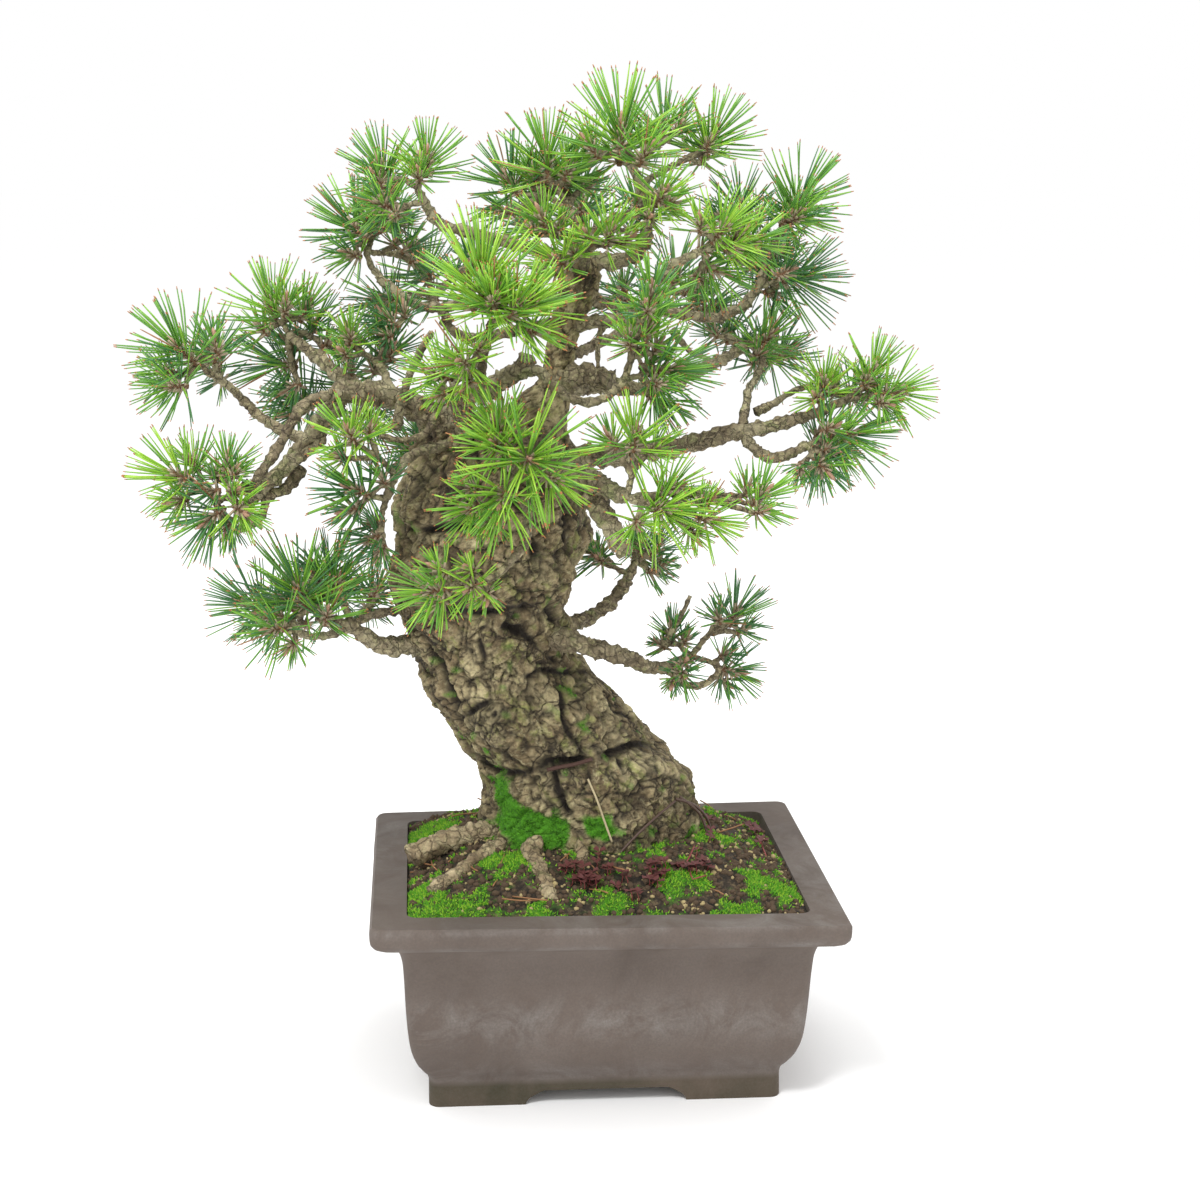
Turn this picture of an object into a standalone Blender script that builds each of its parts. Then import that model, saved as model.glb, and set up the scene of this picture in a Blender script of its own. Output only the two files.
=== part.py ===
"""Potted Japanese black pine bonsai: pot, soil, trunk, surface roots, boughs and foliage masses.

Metres, +Z up, the viewer looks along +Y. Places are given in millimetres from the middle of the
pot on the ground, and one empty then shifts the whole plant so that the origin is the middle of
the underside of its bounding box.
"""

import math
import random

import bmesh
import bpy
import numpy as np
from mathutils import Vector, noise

MM = 0.001
GAP = 0.3 * MM
SEED = 11

# Pot: an unglazed rectangular tray with a flat lip and four bracket feet.
POT_WIDTH = 0.300
POT_DEPTH = 0.240
POT_HEIGHT = 0.133
LIP_INNER_INSET = 22.7
RIM_TWIST = 2.0
FOOT_INSET = 36.0
FOOT_HEIGHT = 9.3
FLOOR_THICKNESS = 9.0
BRACKET_WIDTH = 16.0
FRONT_ARCH_HALF = (52.0, 40.0)
SIDE_ARCH_HALF = (39.0, 28.0)
DRAIN_RADIUS = 9.0
DRAIN_OFFSET = 60.0
CORNER_RADIUS = 7.0
# Outer and inner wall profiles: inset from the lip's edge, height above the ground.
OUTER_PROFILE = (
    (36.0, 0.0), (36.0, 17.6), (32.0, 25.0), (28.0, 32.0), (24.2, 44.0), (22.2, 62.0),
    (20.6, 91.0), (19.0, 106.0), (15.0, 113.5), (5.0, 117.5), (0.6, 121.5), (0.0, 130.5), (1.6, 133.0),
)
INNER_PROFILE = ((22.7, 133.0), (23.6, 127.0), (28.0, 116.0), (29.5, 90.0), (31.0, 50.0), (38.0, 24.0))

# Soil: a mound that carries the trunk on its flat top and falls to the rim.
MOUND_TOP = 150.0
MOUND_MARGIN = 5.0
RIM_SOIL = 130.0
RIGHT_BACK_DROP = 8.0
SOIL_BUMP = 1.6

# Trunk: height, middle across, middle in depth, half width of each level.
TRUNK_LEVELS = (
    (150, -3, 25, 69), (160, -4, 25, 67), (178, -8, 25, 66), (199, -17, 25, 66), (218, -30, 25, 64),
    (238, -46, 24, 63), (258, -60, 24, 57), (279, -70, 24, 54), (300, -76, 23, 56), (322, -77, 22, 61),
    (344, -74, 21, 60), (367, -70, 20, 60), (391, -70, 19, 58), (411, -70, 18, 52), (425, -64, 17, 42),
    (433, -58, 16, 29), (437, -55, 15, 13),
)
DEPTH_RATIO = 0.80
TRUNK_SIDES = 20
TRUNK_RING_STEP = 11.0
# Lumps on the trunk: direction seen from above, height, half spread in degrees, half height, size.
TRUNK_LUMPS = (
    (190, 152, 16, 22, 10), (222, 152, 15, 20, 9), (286, 152, 15, 18, 8), (343, 160, 18, 26, 13),
    (40, 152, 18, 26, 12), (95, 152, 18, 24, 10), (145, 152, 17, 24, 11), (350, 190, 22, 14, 9),
    (300, 196, 24, 20, 6), (245, 225, 22, 24, 6), (178, 372, 18, 14, 6), (2, 352, 16, 14, 9),
    (262, 262, 26, 22, -6), (230, 300, 22, 20, 5), (310, 330, 24, 26, 5), (90, 250, 30, 30, 6),
    (60, 330, 26, 30, 5), (130, 390, 28, 24, -5), (255, 395, 24, 22, 4),
)
LEADER_ROUTE = (
    (-50, 14, 412), (-38, 12, 436), (-33, 10, 446), (-29, 8, 458), (-28, 6, 471), (-25, 4, 486),
    (-21, 3, 501), (-17, 2, 514), (-16, 2, 525), (-14, 2, 535),
)
LEADER_RADII = (25, 18, 14, 10.5, 9.5, 10, 11, 12.5, 14.5, 8.5)

# Surface roots: name, radius at the trunk and at the end, route.
ROOTS = (
    ("root_left_cut", 8.0, 7.2, ((-40, 14, 156), (-72, 8, 153), (-96, 2, 151), (-116, -8, 147), (-124, -14, 144))),
    ("root_left_front", 5.4, 4.4, ((-54, 0, 152), (-74, -24, 150), (-92, -44, 145), (-112, -63, 139))),
    ("root_front", 6.4, 5.2, ((-34, -2, 156), (-46, -28, 152), (-43, -46, 147), (-39, -64, 141), (-36, -80, 136))),
    ("root_front_stub", 5.0, 4.0, ((-12, -6, 156), (-13, -26, 153), (-14, -46, 147))),
)

# Boughs: name, what carries it, radius at the base and at the tip, route.
BOUGHS = (
    ("bough_left_main", "trunk", 8.0, 3.0,
     ((-92, 14, 420), (-116, 6, 437), (-137, 0, 447), (-155, -5, 450), (-168, -8, 448), (-174, -11, 437),
      (-184, -15, 423), (-199, -21, 406), (-211, -26, 395), (-220, -30, 387), (-226, -33, 375))),
    ("bough_left_fore", "bough_left_main", 2.8, 2.2,
     ((-164, -9, 449), (-176, -24, 449), (-190, -36, 443), (-201, -42, 424), (-216, -48, 402), (-226, -50, 394))),
    ("bough_left_upper", "bough_left_main", 3.0, 2.2,
     ((-186, -16, 421), (-200, -6, 424), (-216, 0, 433), (-228, 7, 443))),
    ("bough_left_top", "bough_left_main", 4.0, 3.2,
     ((-150, -4, 449), (-163, 4, 455), (-175, 12, 465), (-182, 18, 471))),
    ("bough_low_left", "trunk", 5.6, 3.0,
     ((-108, 14, 280), (-125, 4, 284), (-140, -5, 285), (-150, -10, 291), (-160, -16, 300), (-171, -21, 304),
      (-182, -25, 310))),
    ("bough_upper_left", "trunk", 3.6, 2.4,
     ((-18, 3, 528), (-36, 4, 537), (-60, 0, 543), (-83, -6, 549), (-100, -10, 553), (-110, -12, 560))),
    ("bough_upper_left_outer", "trunk", 3.2, 2.2,
     ((-20, 4, 504), (-42, 14, 508), (-66, 22, 507), (-108, 32, 500), (-126, 38, 506), (-142, 42, 518))),
    ("bough_back_left", "trunk", 3.4, 2.4,
     ((-22, 6, 492), (-42, 36, 488), (-61, 54, 482), (-85, 68, 478), (-102, 76, 488))),
    ("bough_front_sawn", "trunk", 7.0, 4.4,
     ((-74, 4, 420), (-92, -22, 438), (-88, -37, 452), (-77, -46, 456), (-66, -52, 463), (-56, -58, 469),
      (-52, -62, 477))),
    ("bough_right_stub", "trunk", 5.6, 5.0, ((-28, 2, 456), (-12, -8, 461), (4, -18, 459))),
    ("bough_right_up", "trunk", 3.6, 2.4,
     ((-22, 2, 492), (-1, -14, 496), (12, -24, 499), (23, -30, 507), (26, -34, 517), (33, -40, 528),
      (44, -46, 535))),
    ("bough_right_back", "trunk", 3.4, 2.6,
     ((-18, 6, 508), (2, 22, 505), (20, 34, 499), (48, 44, 497), (77, 50, 493), (92, 54, 498), (102, 57, 503))),
    ("bough_right_back_low", "trunk", 4.6, 3.0,
     ((-24, 8, 452), (0, 24, 451), (29, 34, 448), (46, 38, 450), (67, 40, 460), (85, 42, 467))),
    ("bough_right_main", "trunk", 6.4, 3.0,
     ((-30, 8, 406), (-8, 0, 409), (11, -4, 410), (36, -8, 413), (58, -10, 419), (86, -12, 426),
      (100, -12, 428), (116, -13, 432), (130, -14, 436))),
    ("bough_front_right", "trunk", 8.5, 6.2, ((-46, -10, 414), (-30, -40, 406), (-15, -66, 402), (-8, -80, 401))),
    ("bough_front_right_stub", "bough_front_right", 5.6, 4.6,
     ((-18, -60, 401), (-10, -76, 391), (-3, -84, 378), (3, -88, 368), (7, -90, 361))),
    ("bough_low_back", "trunk", 4.6, 3.4,
     ((-44, 44, 280), (-20, 50, 284), (-4, 62, 287), (10, 72, 292), (20, 80, 301), (27, 85, 309))),
    ("bough_low_right", "trunk", 5.6, 4.4,
     ((-44, 4, 290), (-21, -9, 289), (-6, -18, 286), (9, -22, 282), (22, -24, 278))),
    ("bough_apex", "trunk", 4.4, 2.8,
     ((-14, 2, 529), (-2, 2, 531), (12, -1, 533), (22, -4, 539), (26, -8, 555), (26, -10, 568))),
    ("bough_back_low", "trunk", 5.0, 3.0, ((-74, 50, 290), (-74, 86, 296), (-68, 108, 306), (-64, 124, 314))),
    ("bough_back_middle", "trunk", 4.6, 3.0, ((-74, 40, 362), (-82, 84, 372), (-88, 106, 382), (-90, 118, 390))),
)

LIMB_STEP = 18.0

# Foliage masses: name, what carries it, stem radius, stem route, and its sprays.
# A spray is its middle, the way it points, and how far its needles reach.
MASSES = (
    ("needles_left_tip", "bough_left_upper", 2.0, ((-222, 4, 438), (-236, 4, 452), (-248, -6, 462)), (
        ((-260, -18, 474), (-0.8, -0.2, 0.8), 45), ((-248, 22, 466), (-0.5, 0.6, 0.7), 34))),
    ("needles_left_outer", "bough_left_fore", 2.0, ((-220, -49, 399), (-232, -50, 391), (-238, -50, 390)), (
        ((-262, -46, 402), (-0.8, -0.3, 0.5), 38), ((-242, -54, 380), (-0.7, -0.3, -0.5), 36),
        ((-234, -44, 408), (0.1, 0.1, 1.0), 26), ((-226, -66, 386), (0.5, -0.7, -0.2), 26))),
    ("needles_left_top", "bough_left_top", 2.8, ((-178, 14, 467), (-192, 24, 477), (-200, 30, 483)), (
        ((-210, 36, 497), (-0.3, 0.2, 1.0), 40), ((-204, 44, 462), (-1.0, 0.3, 0.2), 38),
        ((-186, 50, 484), (0.2, 0.8, 0.6), 34))),
    ("needles_left_back", "bough_left_main", 2.4, ((-146, -2, 450), (-150, 20, 448), (-160, 46, 444)), (
        ((-168, 84, 446), (-0.3, 0.9, 0.4), 38), ((-196, 70, 434), (-0.9, 0.4, 0.3), 36),
        ((-150, 66, 424), (0.2, 0.8, -0.3), 32))),
    ("needles_left_inner", "bough_left_main", 2.4, ((-134, 0, 448), (-138, 6, 458), (-142, 14, 466)), (
        ((-160, 4, 482), (-0.2, -0.3, 1.0), 26), ((-140, 30, 470), (0.1, 0.4, 1.0), 34),
        ((-134, 22, 492), (-0.6, 0.2, 0.6), 28))),
    ("needles_left_front", "trunk", 2.6, ((-96, 0, 416), (-120, -26, 414), (-132, -38, 402), (-138, -42, 388)), (
        ((-158, -58, 428), (-0.4, -0.5, 0.8), 32), ((-154, -52, 394), (-0.8, -0.4, 0.4), 37),
        ((-146, -46, 364), (-0.9, -0.2, -0.3), 26))),
    ("needles_low_left", "bough_low_left", 2.6, ((-176, -22, 307), (-184, -24, 315)), (
        ((-192, -28, 324), (-0.3, -0.2, 1.0), 48), ((-174, 4, 330), (0.2, 0.5, 0.9), 36),
        ((-206, -44, 306), (-0.8, -0.6, 0.1), 32))),
    ("needles_low_left_tip", "trunk", 2.4,
     ((-104, 26, 300), (-134, 24, 302), (-158, 32, 294), (-175, 37, 284), (-192, 40, 282), (-210, 43, 288)), (
        ((-226, 46, 300), (-1.0, 0.1, 0.4), 40), ((-196, 72, 298), (-0.2, 1.0, 0.4), 36),
        ((-150, 62, 304), (0.2, 0.9, 0.5), 32))),
    ("needles_upper_left_outer", "bough_upper_left_outer", 2.0, ((-138, 41, 514), (-147, 44, 526), (-150, 46, 534)), (
        ((-156, 44, 548), (-0.7, 0.0, 0.8), 41), ((-140, 72, 556), (0.0, 0.7, 0.8), 32),
        ((-124, 60, 536), (0.6, 0.6, 0.4), 28))),
    ("needles_upper_left", "bough_upper_left", 2.2, ((-106, -11, 557), (-113, -12, 568), (-117, -10, 576)), (
        ((-112, -16, 590), (0.1, -0.2, 1.0), 33), ((-138, 14, 584), (-0.4, 0.2, 1.0), 37),
        ((-138, -34, 566), (-0.7, -0.6, 0.3), 28))),
    ("needles_front_upper", "bough_front_sawn", 2.6,
     ((-77, -46, 456), (-80, -66, 468), (-78, -74, 482), (-74, -78, 500)), (
        ((-80, -84, 519), (0.0, -0.2, 1.0), 54), ((-90, -84, 476), (-0.4, -0.8, 0.2), 31),
        ((-104, -64, 466), (-0.9, -0.2, 0.3), 32), ((-56, -92, 508), (0.7, -0.5, 0.7), 40))),
    ("needles_front_curl", "bough_front_sawn", 2.4,
     ((-60, -57, 466), (-46, -70, 470), (-38, -74, 463), (-28, -76, 455), (-16, -76, 452), (-4, -76, 456),
      (6, -75, 466)), (
        ((18, -78, 492), (0.2, -0.1, 1.0), 33), ((20, -82, 514), (0.0, -0.2, 1.0), 33),
        ((28, -70, 470), (0.9, -0.2, 0.2), 40))),
    ("needles_crown_left", "trunk", 3.0, ((-14, 2, 526), (-16, 4, 550), (-22, 6, 564)), (
        ((-36, 10, 590), (-0.1, 0.1, 1.0), 43), ((-58, 24, 578), (-0.6, 0.3, 0.8), 38),
        ((-22, 36, 580), (0.3, 0.7, 0.8), 36))),
    ("needles_crown_top", "bough_apex", 2.4, ((26, -10, 562), (20, -12, 580), (14, -12, 592)), (
        ((8, -12, 606), (0.0, 0.0, 1.0), 51), ((30, -38, 572), (0.3, -0.7, 0.7), 31),
        ((68, 18, 606), (0.5, 0.1, 1.0), 38), ((38, 20, 612), (0.2, 0.6, 1.0), 38))),
    ("needles_crown_front", "trunk", 2.4, ((-15, 0, 527), (-14, -20, 532), (-14, -28, 538)), (
        ((-2, -42, 548), (0.2, -0.6, 0.8), 32), ((-30, -36, 532), (-0.7, -0.5, 0.5), 30),
        ((-40, -22, 556), (-0.4, -0.2, 0.9), 28))),
    ("needles_right_top", "bough_right_back", 2.4, ((98, 56, 501), (108, 56, 514), (112, 52, 530)), (
        ((128, 34, 568), (0.6, -0.2, 0.9), 43), ((96, 66, 562), (-0.1, 0.5, 1.0), 36),
        ((130, 58, 518), (1.0, 0.2, 0.2), 46), ((116, 84, 534), (0.4, 0.9, 0.4), 38))),
    ("needles_right_front", "bough_right_up", 2.2, ((38, -43, 532), (50, -48, 539), (56, -50, 542)), (
        ((64, -56, 552), (0.5, -0.4, 0.8), 35), ((62, -38, 530), (0.8, 0.0, -0.3), 33),
        ((84, -40, 546), (0.9, 0.1, 0.4), 32))),
    ("needles_right_middle", "bough_right_back_low", 2.6, ((80, 42, 465), (94, 46, 472), (100, 50, 476)), (
        ((110, 34, 480), (0.6, -0.4, 0.7), 33), ((124, 74, 464), (0.7, 0.7, 0.2), 36),
        ((92, 84, 478), (0.0, 0.9, 0.5), 34))),
    ("needles_right_tip", "bough_right_main", 2.6, ((124, -13, 434), (140, -14, 440), (154, -14, 446)), (
        ((140, -14, 454), (-0.2, -0.3, 1.0), 30), ((172, -10, 462), (0.4, 0.1, 1.0), 33),
        ((182, -22, 452), (1.0, -0.2, 0.2), 33), ((164, 12, 446), (0.4, 0.9, 0.2), 30))),
    ("needles_right_under", "bough_right_main", 2.8,
     ((88, -12, 426), (100, -18, 412), (114, -26, 412), (128, -30, 420)), (
        ((152, -28, 426), (1.0, -0.1, 0.2), 40), ((134, -42, 408), (0.5, -0.6, -0.5), 28),
        ((140, -4, 412), (0.6, 0.7, -0.2), 30))),
    ("needles_front_right", "bough_front_right", 4.6, ((-14, -68, 402), (-2, -86, 400), (6, -94, 397)), (
        ((10, -94, 430), (0.1, -0.3, 1.0), 37), ((24, -108, 392), (0.6, -0.8, 0.1), 40),
        ((52, -110, 386), (0.7, -0.5, -0.1), 28), ((84, -104, 398), (0.7, -0.1, 0.7), 29))),
    ("needles_front_centre", "trunk", 3.0, ((-62, -8, 404), (-58, -50, 408), (-56, -72, 412)), (
        ((-54, -96, 420), (0.1, -1.0, 0.2), 54), ((-84, -84, 390), (-0.7, -0.6, -0.1), 32),
        ((-70, -80, 436), (-0.4, -0.5, 0.8), 34))),
    ("needles_front_low", "trunk", 2.4,
     ((-52, -14, 386), (-51, -60, 380), (-54, -78, 367), (-63, -86, 357), (-73, -92, 348)), (
        ((-86, -94, 343), (-0.5, -0.8, -0.1), 26), ((-108, -96, 341), (-1.0, -0.3, -0.1), 34))),
    ("needles_low_right", "bough_low_right", 3.4, ((16, -23, 280), (30, -24, 274), (42, -22, 274), (58, -20, 280)), (
        ((88, -2, 302), (0.5, 0.3, 0.8), 32), ((82, -26, 272), (1.0, -0.3, -0.1), 27),
        ((50, -36, 272), (0.1, -1.0, 0.0), 20), ((46, -8, 292), (-0.2, 0.2, 1.0), 22))),
    ("needles_low_back", "bough_low_back", 2.8, ((22, 81, 303), (28, 87, 312), (32, 92, 320)), (
        ((46, 94, 328), (0.5, 0.0, 0.8), 28), ((4, 94, 326), (-0.6, -0.1, 0.6), 26),
        ((40, 120, 318), (0.3, 0.9, 0.2), 34))),
    ("needles_back_low", "bough_back_low", 2.6, ((-66, 118, 310), (-62, 134, 320)), (
        ((-62, 148, 328), (0.1, 0.9, 0.5), 40), ((-98, 134, 318), (-0.8, 0.6, 0.3), 36),
        ((-30, 132, 324), (0.8, 0.6, 0.3), 34))),
    ("needles_back_middle", "bough_back_middle", 2.6, ((-89, 112, 386), (-90, 128, 396)), (
        ((-92, 148, 404), (-0.1, 0.9, 0.6), 40), ((-122, 122, 396), (-0.9, 0.4, 0.3), 34),
        ((-56, 140, 402), (0.8, 0.5, 0.4), 36))),
    ("needles_back_left", "bough_back_left", 2.0, ((-96, 70, 489), (-106, 82, 500), (-106, 90, 506)), (
        ((-112, 108, 516), (-0.5, 0.8, 0.6), 38), ((-80, 118, 522), (0.3, 0.8, 0.7), 36),
        ((-140, 92, 500), (-1.0, 0.3, 0.1), 32))),
    ("needles_back_top", "trunk", 2.6, ((-20, 4, 500), (-18, 36, 512), (-14, 62, 526), (-10, 80, 540)), (
        ((-6, 108, 556), (0.1, 0.8, 0.8), 42), ((-42, 96, 560), (-0.6, 0.5, 0.8), 36),
        ((32, 98, 562), (0.6, 0.5, 0.8), 36))),
    ("needles_back_right", "trunk", 2.8, ((-26, 8, 470), (-10, 44, 472), (16, 74, 480), (40, 94, 494)), (
        ((60, 118, 514), (0.4, 0.8, 0.6), 38), ((24, 130, 500), (-0.3, 1.0, 0.3), 34),
        ((84, 108, 496), (1.0, 0.4, 0.1), 32))),
)
STEM_STEP = 15.0
TWIG_TIP_RADIUS = 1.5
TWIG_BEND = 0.10
SIDE_SHOOT_REACH = 40.0
LARGE_SPRAY_REACH = 36.0
CORE_POINTS = (8, 10)
CORE_RADIUS_SHARE = 0.085
LEAST_CORE_RADIUS = 3.2
CORE_LENGTH_SHARE = 0.22
# Needles: tip radius, how far they sweep forward, and the share of length tried in turn.
NEEDLE_TIP_RADIUS = 0.3 * MM
FORWARD_SWEEP = 0.38
NEEDLE_JITTER = 0.12
BARE_BACK = -0.7
NEEDLE_TRIES = (1.0, 0.8, 0.6)
MOST_RODS = 20000
FLAT_ANGLE = math.radians(0.5)

# Finish: colour, roughness, metallic.
CLAY = ((0.165, 0.128, 0.104), 0.82, 0.0)
EARTH = ((0.070, 0.058, 0.022), 0.95, 0.0)
BARK = ((0.150, 0.122, 0.070), 0.92, 0.0)
ROOT_BARK = ((0.205, 0.150, 0.095), 0.90, 0.0)
TWIG_BARK = ((0.120, 0.095, 0.062), 0.88, 0.0)
NEEDLES = ((0.070, 0.205, 0.030), 0.50, 0.0)


def clear_scene():
    for obj in list(bpy.data.objects):
        bpy.data.objects.remove(obj, do_unlink=True)


def new_collection(name):
    collection = bpy.data.collections.new(name)
    bpy.context.scene.collection.children.link(collection)
    return collection


def point(place):
    """A place in millimetres as a vector in metres."""
    return Vector(place) * MM


def give_material(obj, finish):
    colour, roughness, metallic = finish
    material = bpy.data.materials.new(obj.name)
    material.use_nodes = True
    shader = material.node_tree.nodes["Principled BSDF"]
    shader.inputs["Base Color"].default_value = (*colour, 1.0)
    shader.inputs["Roughness"].default_value = roughness
    shader.inputs["Metallic"].default_value = metallic
    obj.data.materials.clear()
    obj.data.materials.append(material)


def object_from(bm, name, collection):
    """A new object from a bmesh, its faces turned outward."""
    bmesh.ops.recalc_face_normals(bm, faces=bm.faces)
    bmesh.ops.triangulate(bm, faces=bm.faces)
    mesh = bpy.data.meshes.new(name)
    bm.to_mesh(mesh)
    bm.free()
    obj = bpy.data.objects.new(name, mesh)
    collection.objects.link(obj)
    return obj


def loft(rings, name, collection):
    """A closed skin over rings of equally many points, with a flat cap at each end."""
    bm = bmesh.new()
    loops = [[bm.verts.new(place) for place in ring] for ring in rings]
    for lower, upper in zip(loops, loops[1:]):
        for side in range(len(lower)):
            after = (side + 1) % len(lower)
            bm.faces.new((lower[side], lower[after], upper[after], upper[side]))
    bm.faces.new(list(reversed(loops[0])))
    bm.faces.new(loops[-1])
    return object_from(bm, name, collection)


def cut(obj, cutter):
    """Takes the cutter out of the object; the cutter stays as a hidden guide."""
    modifier = obj.modifiers.new("cut_" + cutter.name, "BOOLEAN")
    modifier.operation = "DIFFERENCE"
    modifier.object = cutter
    cutter.hide_render = True
    cutter.display_type = "WIRE"


def apply_modifiers(obj):
    graph = bpy.context.evaluated_depsgraph_get()
    mesh = bpy.data.meshes.new_from_object(obj.evaluated_get(graph))
    obj.modifiers.clear()
    obj.data = mesh


def smooth_route(places, step):
    """Points about one step apart on a smooth curve through the places, in metres."""
    places = [point(place) for place in places]
    ends = [places[0] * 2 - places[1]] + places + [places[-1] * 2 - places[-2]]
    route = [places[0]]
    for before, start, end, after in zip(ends, ends[1:], ends[2:], ends[3:]):
        pieces = max(1, round((end - start).length / step))
        for piece in range(1, pieces + 1):
            t = piece / pieces
            route.append(
                start
                + (end - before) * (0.5 * t)
                + (before * 2 - start * 5 + end * 4 - after) * (0.5 * t * t)
                + (start * 3 - before - end * 3 + after) * (0.5 * t * t * t)
            )
    return route


def taper(count, base, tip, seed):
    """Radii from base to tip in metres, a little uneven along the way."""
    return [
        MM * (base + (tip - base) * step / (count - 1)) * (1 + 0.10 * noise.noise((step * 0.9, seed, 0)))
        for step in range(count)
    ]


def tube(route, radii, name, collection, resolution):
    """A tapering limb as a mesh: a bevelled curve, converted and welded."""
    data = bpy.data.curves.new(name, "CURVE")
    data.dimensions = "3D"
    data.bevel_depth = 1.0
    data.bevel_resolution = resolution
    data.use_fill_caps = True
    spline = data.splines.new("POLY")
    spline.points.add(len(route) - 1)
    for node, place, radius in zip(spline.points, route, radii):
        node.co = (*place, 1.0)
        node.radius = radius
    curve = bpy.data.objects.new(name + "_curve", data)
    collection.objects.link(curve)
    graph = bpy.context.evaluated_depsgraph_get()
    mesh = bpy.data.meshes.new_from_object(curve.evaluated_get(graph))
    bpy.data.objects.remove(curve, do_unlink=True)
    bpy.data.curves.remove(data)
    bm = bmesh.new()
    bm.from_mesh(mesh)
    bpy.data.meshes.remove(mesh)
    bmesh.ops.remove_doubles(bm, verts=bm.verts, dist=0.02 * MM)
    return object_from(bm, name, collection)


def lengthened(route, extra):
    """The route with both its ends moved outward."""
    first = route[0] + (route[0] - route[1]).normalized() * extra
    last = route[-1] + (route[-1] - route[-2]).normalized() * extra
    return [first] + route[1:-1] + [last]


def is_closed(bm):
    return all(edge.is_manifold for edge in bm.edges)


def mesh_is_closed(mesh):
    bm = bmesh.new()
    bm.from_mesh(mesh)
    closed = is_closed(bm)
    bm.free()
    return closed


def joined(base, others, name, parts, workshop):
    """One body from the base and the others, with the second solver where the first leaves it open."""
    modifier = base.modifiers.new("join", "BOOLEAN")
    modifier.operation = "UNION"
    modifier.operand_type = "COLLECTION"
    modifier.collection = others
    graph = bpy.context.evaluated_depsgraph_get()
    if not mesh_is_closed(base.evaluated_get(graph).data):
        modifier.solver = "MANIFOLD"
    apply_modifiers(base)
    for obj in list(others.objects):
        bpy.data.objects.remove(obj, do_unlink=True)
    bpy.data.collections.remove(others)
    base.name = name
    workshop.objects.unlink(base)
    parts.objects.link(base)


def shells_of(bm):
    """The sets of points that hang together."""
    waiting = set(bm.verts)
    shells = []
    while waiting:
        shell = set()
        front = [waiting.pop()]
        while front:
            vertex = front.pop()
            shell.add(vertex)
            for edge in vertex.link_edges:
                other = edge.other_vert(vertex)
                if other in waiting:
                    waiting.remove(other)
                    front.append(other)
        shells.append(shell)
    return shells


def largest_body(mesh, weld, flatten):
    """The mesh's largest shell, welded and with its flat scraps merged as asked."""
    bm = bmesh.new()
    bm.from_mesh(mesh)
    if weld:
        bmesh.ops.remove_doubles(bm, verts=bm.verts, dist=0.01 * MM)
    if flatten:
        bmesh.ops.dissolve_limit(bm, angle_limit=FLAT_ANGLE, verts=bm.verts, edges=bm.edges)
    largest = max(shells_of(bm), key=len)
    bmesh.ops.delete(bm, geom=[v for v in bm.verts if v not in largest], context="VERTS")
    bmesh.ops.triangulate(bm, faces=bm.faces)
    return bm


def keep_largest_body(obj):
    """Drops loose scrap and sealed hollows, with as much merging as leaves the body closed."""
    for weld, flatten in ((True, True), (True, False), (False, False)):
        bm = largest_body(obj.data, weld, flatten)
        if is_closed(bm):
            break
        bm.free()
        bm = None
    if bm:
        bm.to_mesh(obj.data)
        bm.free()


class TakenSpace:
    """The room that limbs and needles hold, as tapering rods, each with its owner."""

    def __init__(self):
        self.rods = np.zeros((MOST_RODS, 8))
        self.holders = np.zeros(MOST_RODS, int)
        self.count = 0
        self.numbers = {}

    def number(self, owner):
        return self.numbers.setdefault(owner, len(self.numbers) + 1)

    def add(self, owner, start, end, start_radius, end_radius):
        self.rods[self.count] = (*start, *end, start_radius, end_radius)
        self.holders[self.count] = self.number(owner)
        self.count += 1

    def add_route(self, owner, route, radii):
        for start, end, first, last in zip(route, route[1:], radii, radii[1:]):
            self.add(owner, start, end, first, last)

    def is_free(self, owners, start, end, start_radius, end_radius, clearance):
        """Whether a new rod stays clear of every rod that none of these owners holds."""
        own = [self.number(owner) for owner in owners]
        rods = self.rods[: self.count][~np.isin(self.holders[: self.count], own)]
        first, second = np.array(start), np.array(end)
        along = second - first
        other_along = rods[:, 3:6] - rods[:, 0:3]
        between = first - rods[:, 0:3]
        length = along @ along
        other_length = np.einsum("ij,ij->i", other_along, other_along)
        other_dot = np.einsum("ij,ij->i", other_along, between)
        dot = between @ along
        mixed = other_along @ along
        spread = np.maximum(length * other_length - mixed * mixed, 1e-16)
        s = np.clip((mixed * other_dot - dot * other_length) / spread, 0, 1)
        t = np.clip((mixed * s + other_dot) / other_length, 0, 1)
        s = np.clip((mixed * t - dot) / length, 0, 1)
        gap = between + np.outer(s, along) - other_along * t[:, None]
        radii = start_radius + (end_radius - start_radius) * s
        radii = radii + rods[:, 6] + (rods[:, 7] - rods[:, 6]) * t
        return bool((np.linalg.norm(gap, axis=1) > radii + clearance).all())


def rounded_rectangle(half_x, half_y, radius, corner_steps, side_steps):
    """Points anticlockwise round a rectangle with rounded corners."""
    ring = []
    corners = ((1, 1, 0), (-1, 1, 90), (-1, -1, 180), (1, -1, 270))
    for sign_x, sign_y, start in corners:
        middle = Vector((sign_x * (half_x - radius), sign_y * (half_y - radius)))
        arc = []
        for step in range(corner_steps + 1):
            angle = math.radians(start + 90 * step / corner_steps)
            arc.append(middle + Vector((math.cos(angle), math.sin(angle))) * radius)
        if ring:
            last = ring[-1]
            ring += [last.lerp(arc[0], step / side_steps) for step in range(1, side_steps)]
        ring += arc
    last = ring[-1]
    ring += [last.lerp(ring[0], step / side_steps) for step in range(1, side_steps)]
    return ring


def twisted(x, y, z):
    """The slight warp that firing gave the rim: it grows with height and toward the corners."""
    share = min(max((z - 60 * MM) / (POT_HEIGHT - 60 * MM), 0), 1)
    return Vector((x, y, z + RIM_TWIST * MM * share * (x * 2 / POT_WIDTH) * (y * 2 / POT_DEPTH)))


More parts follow.
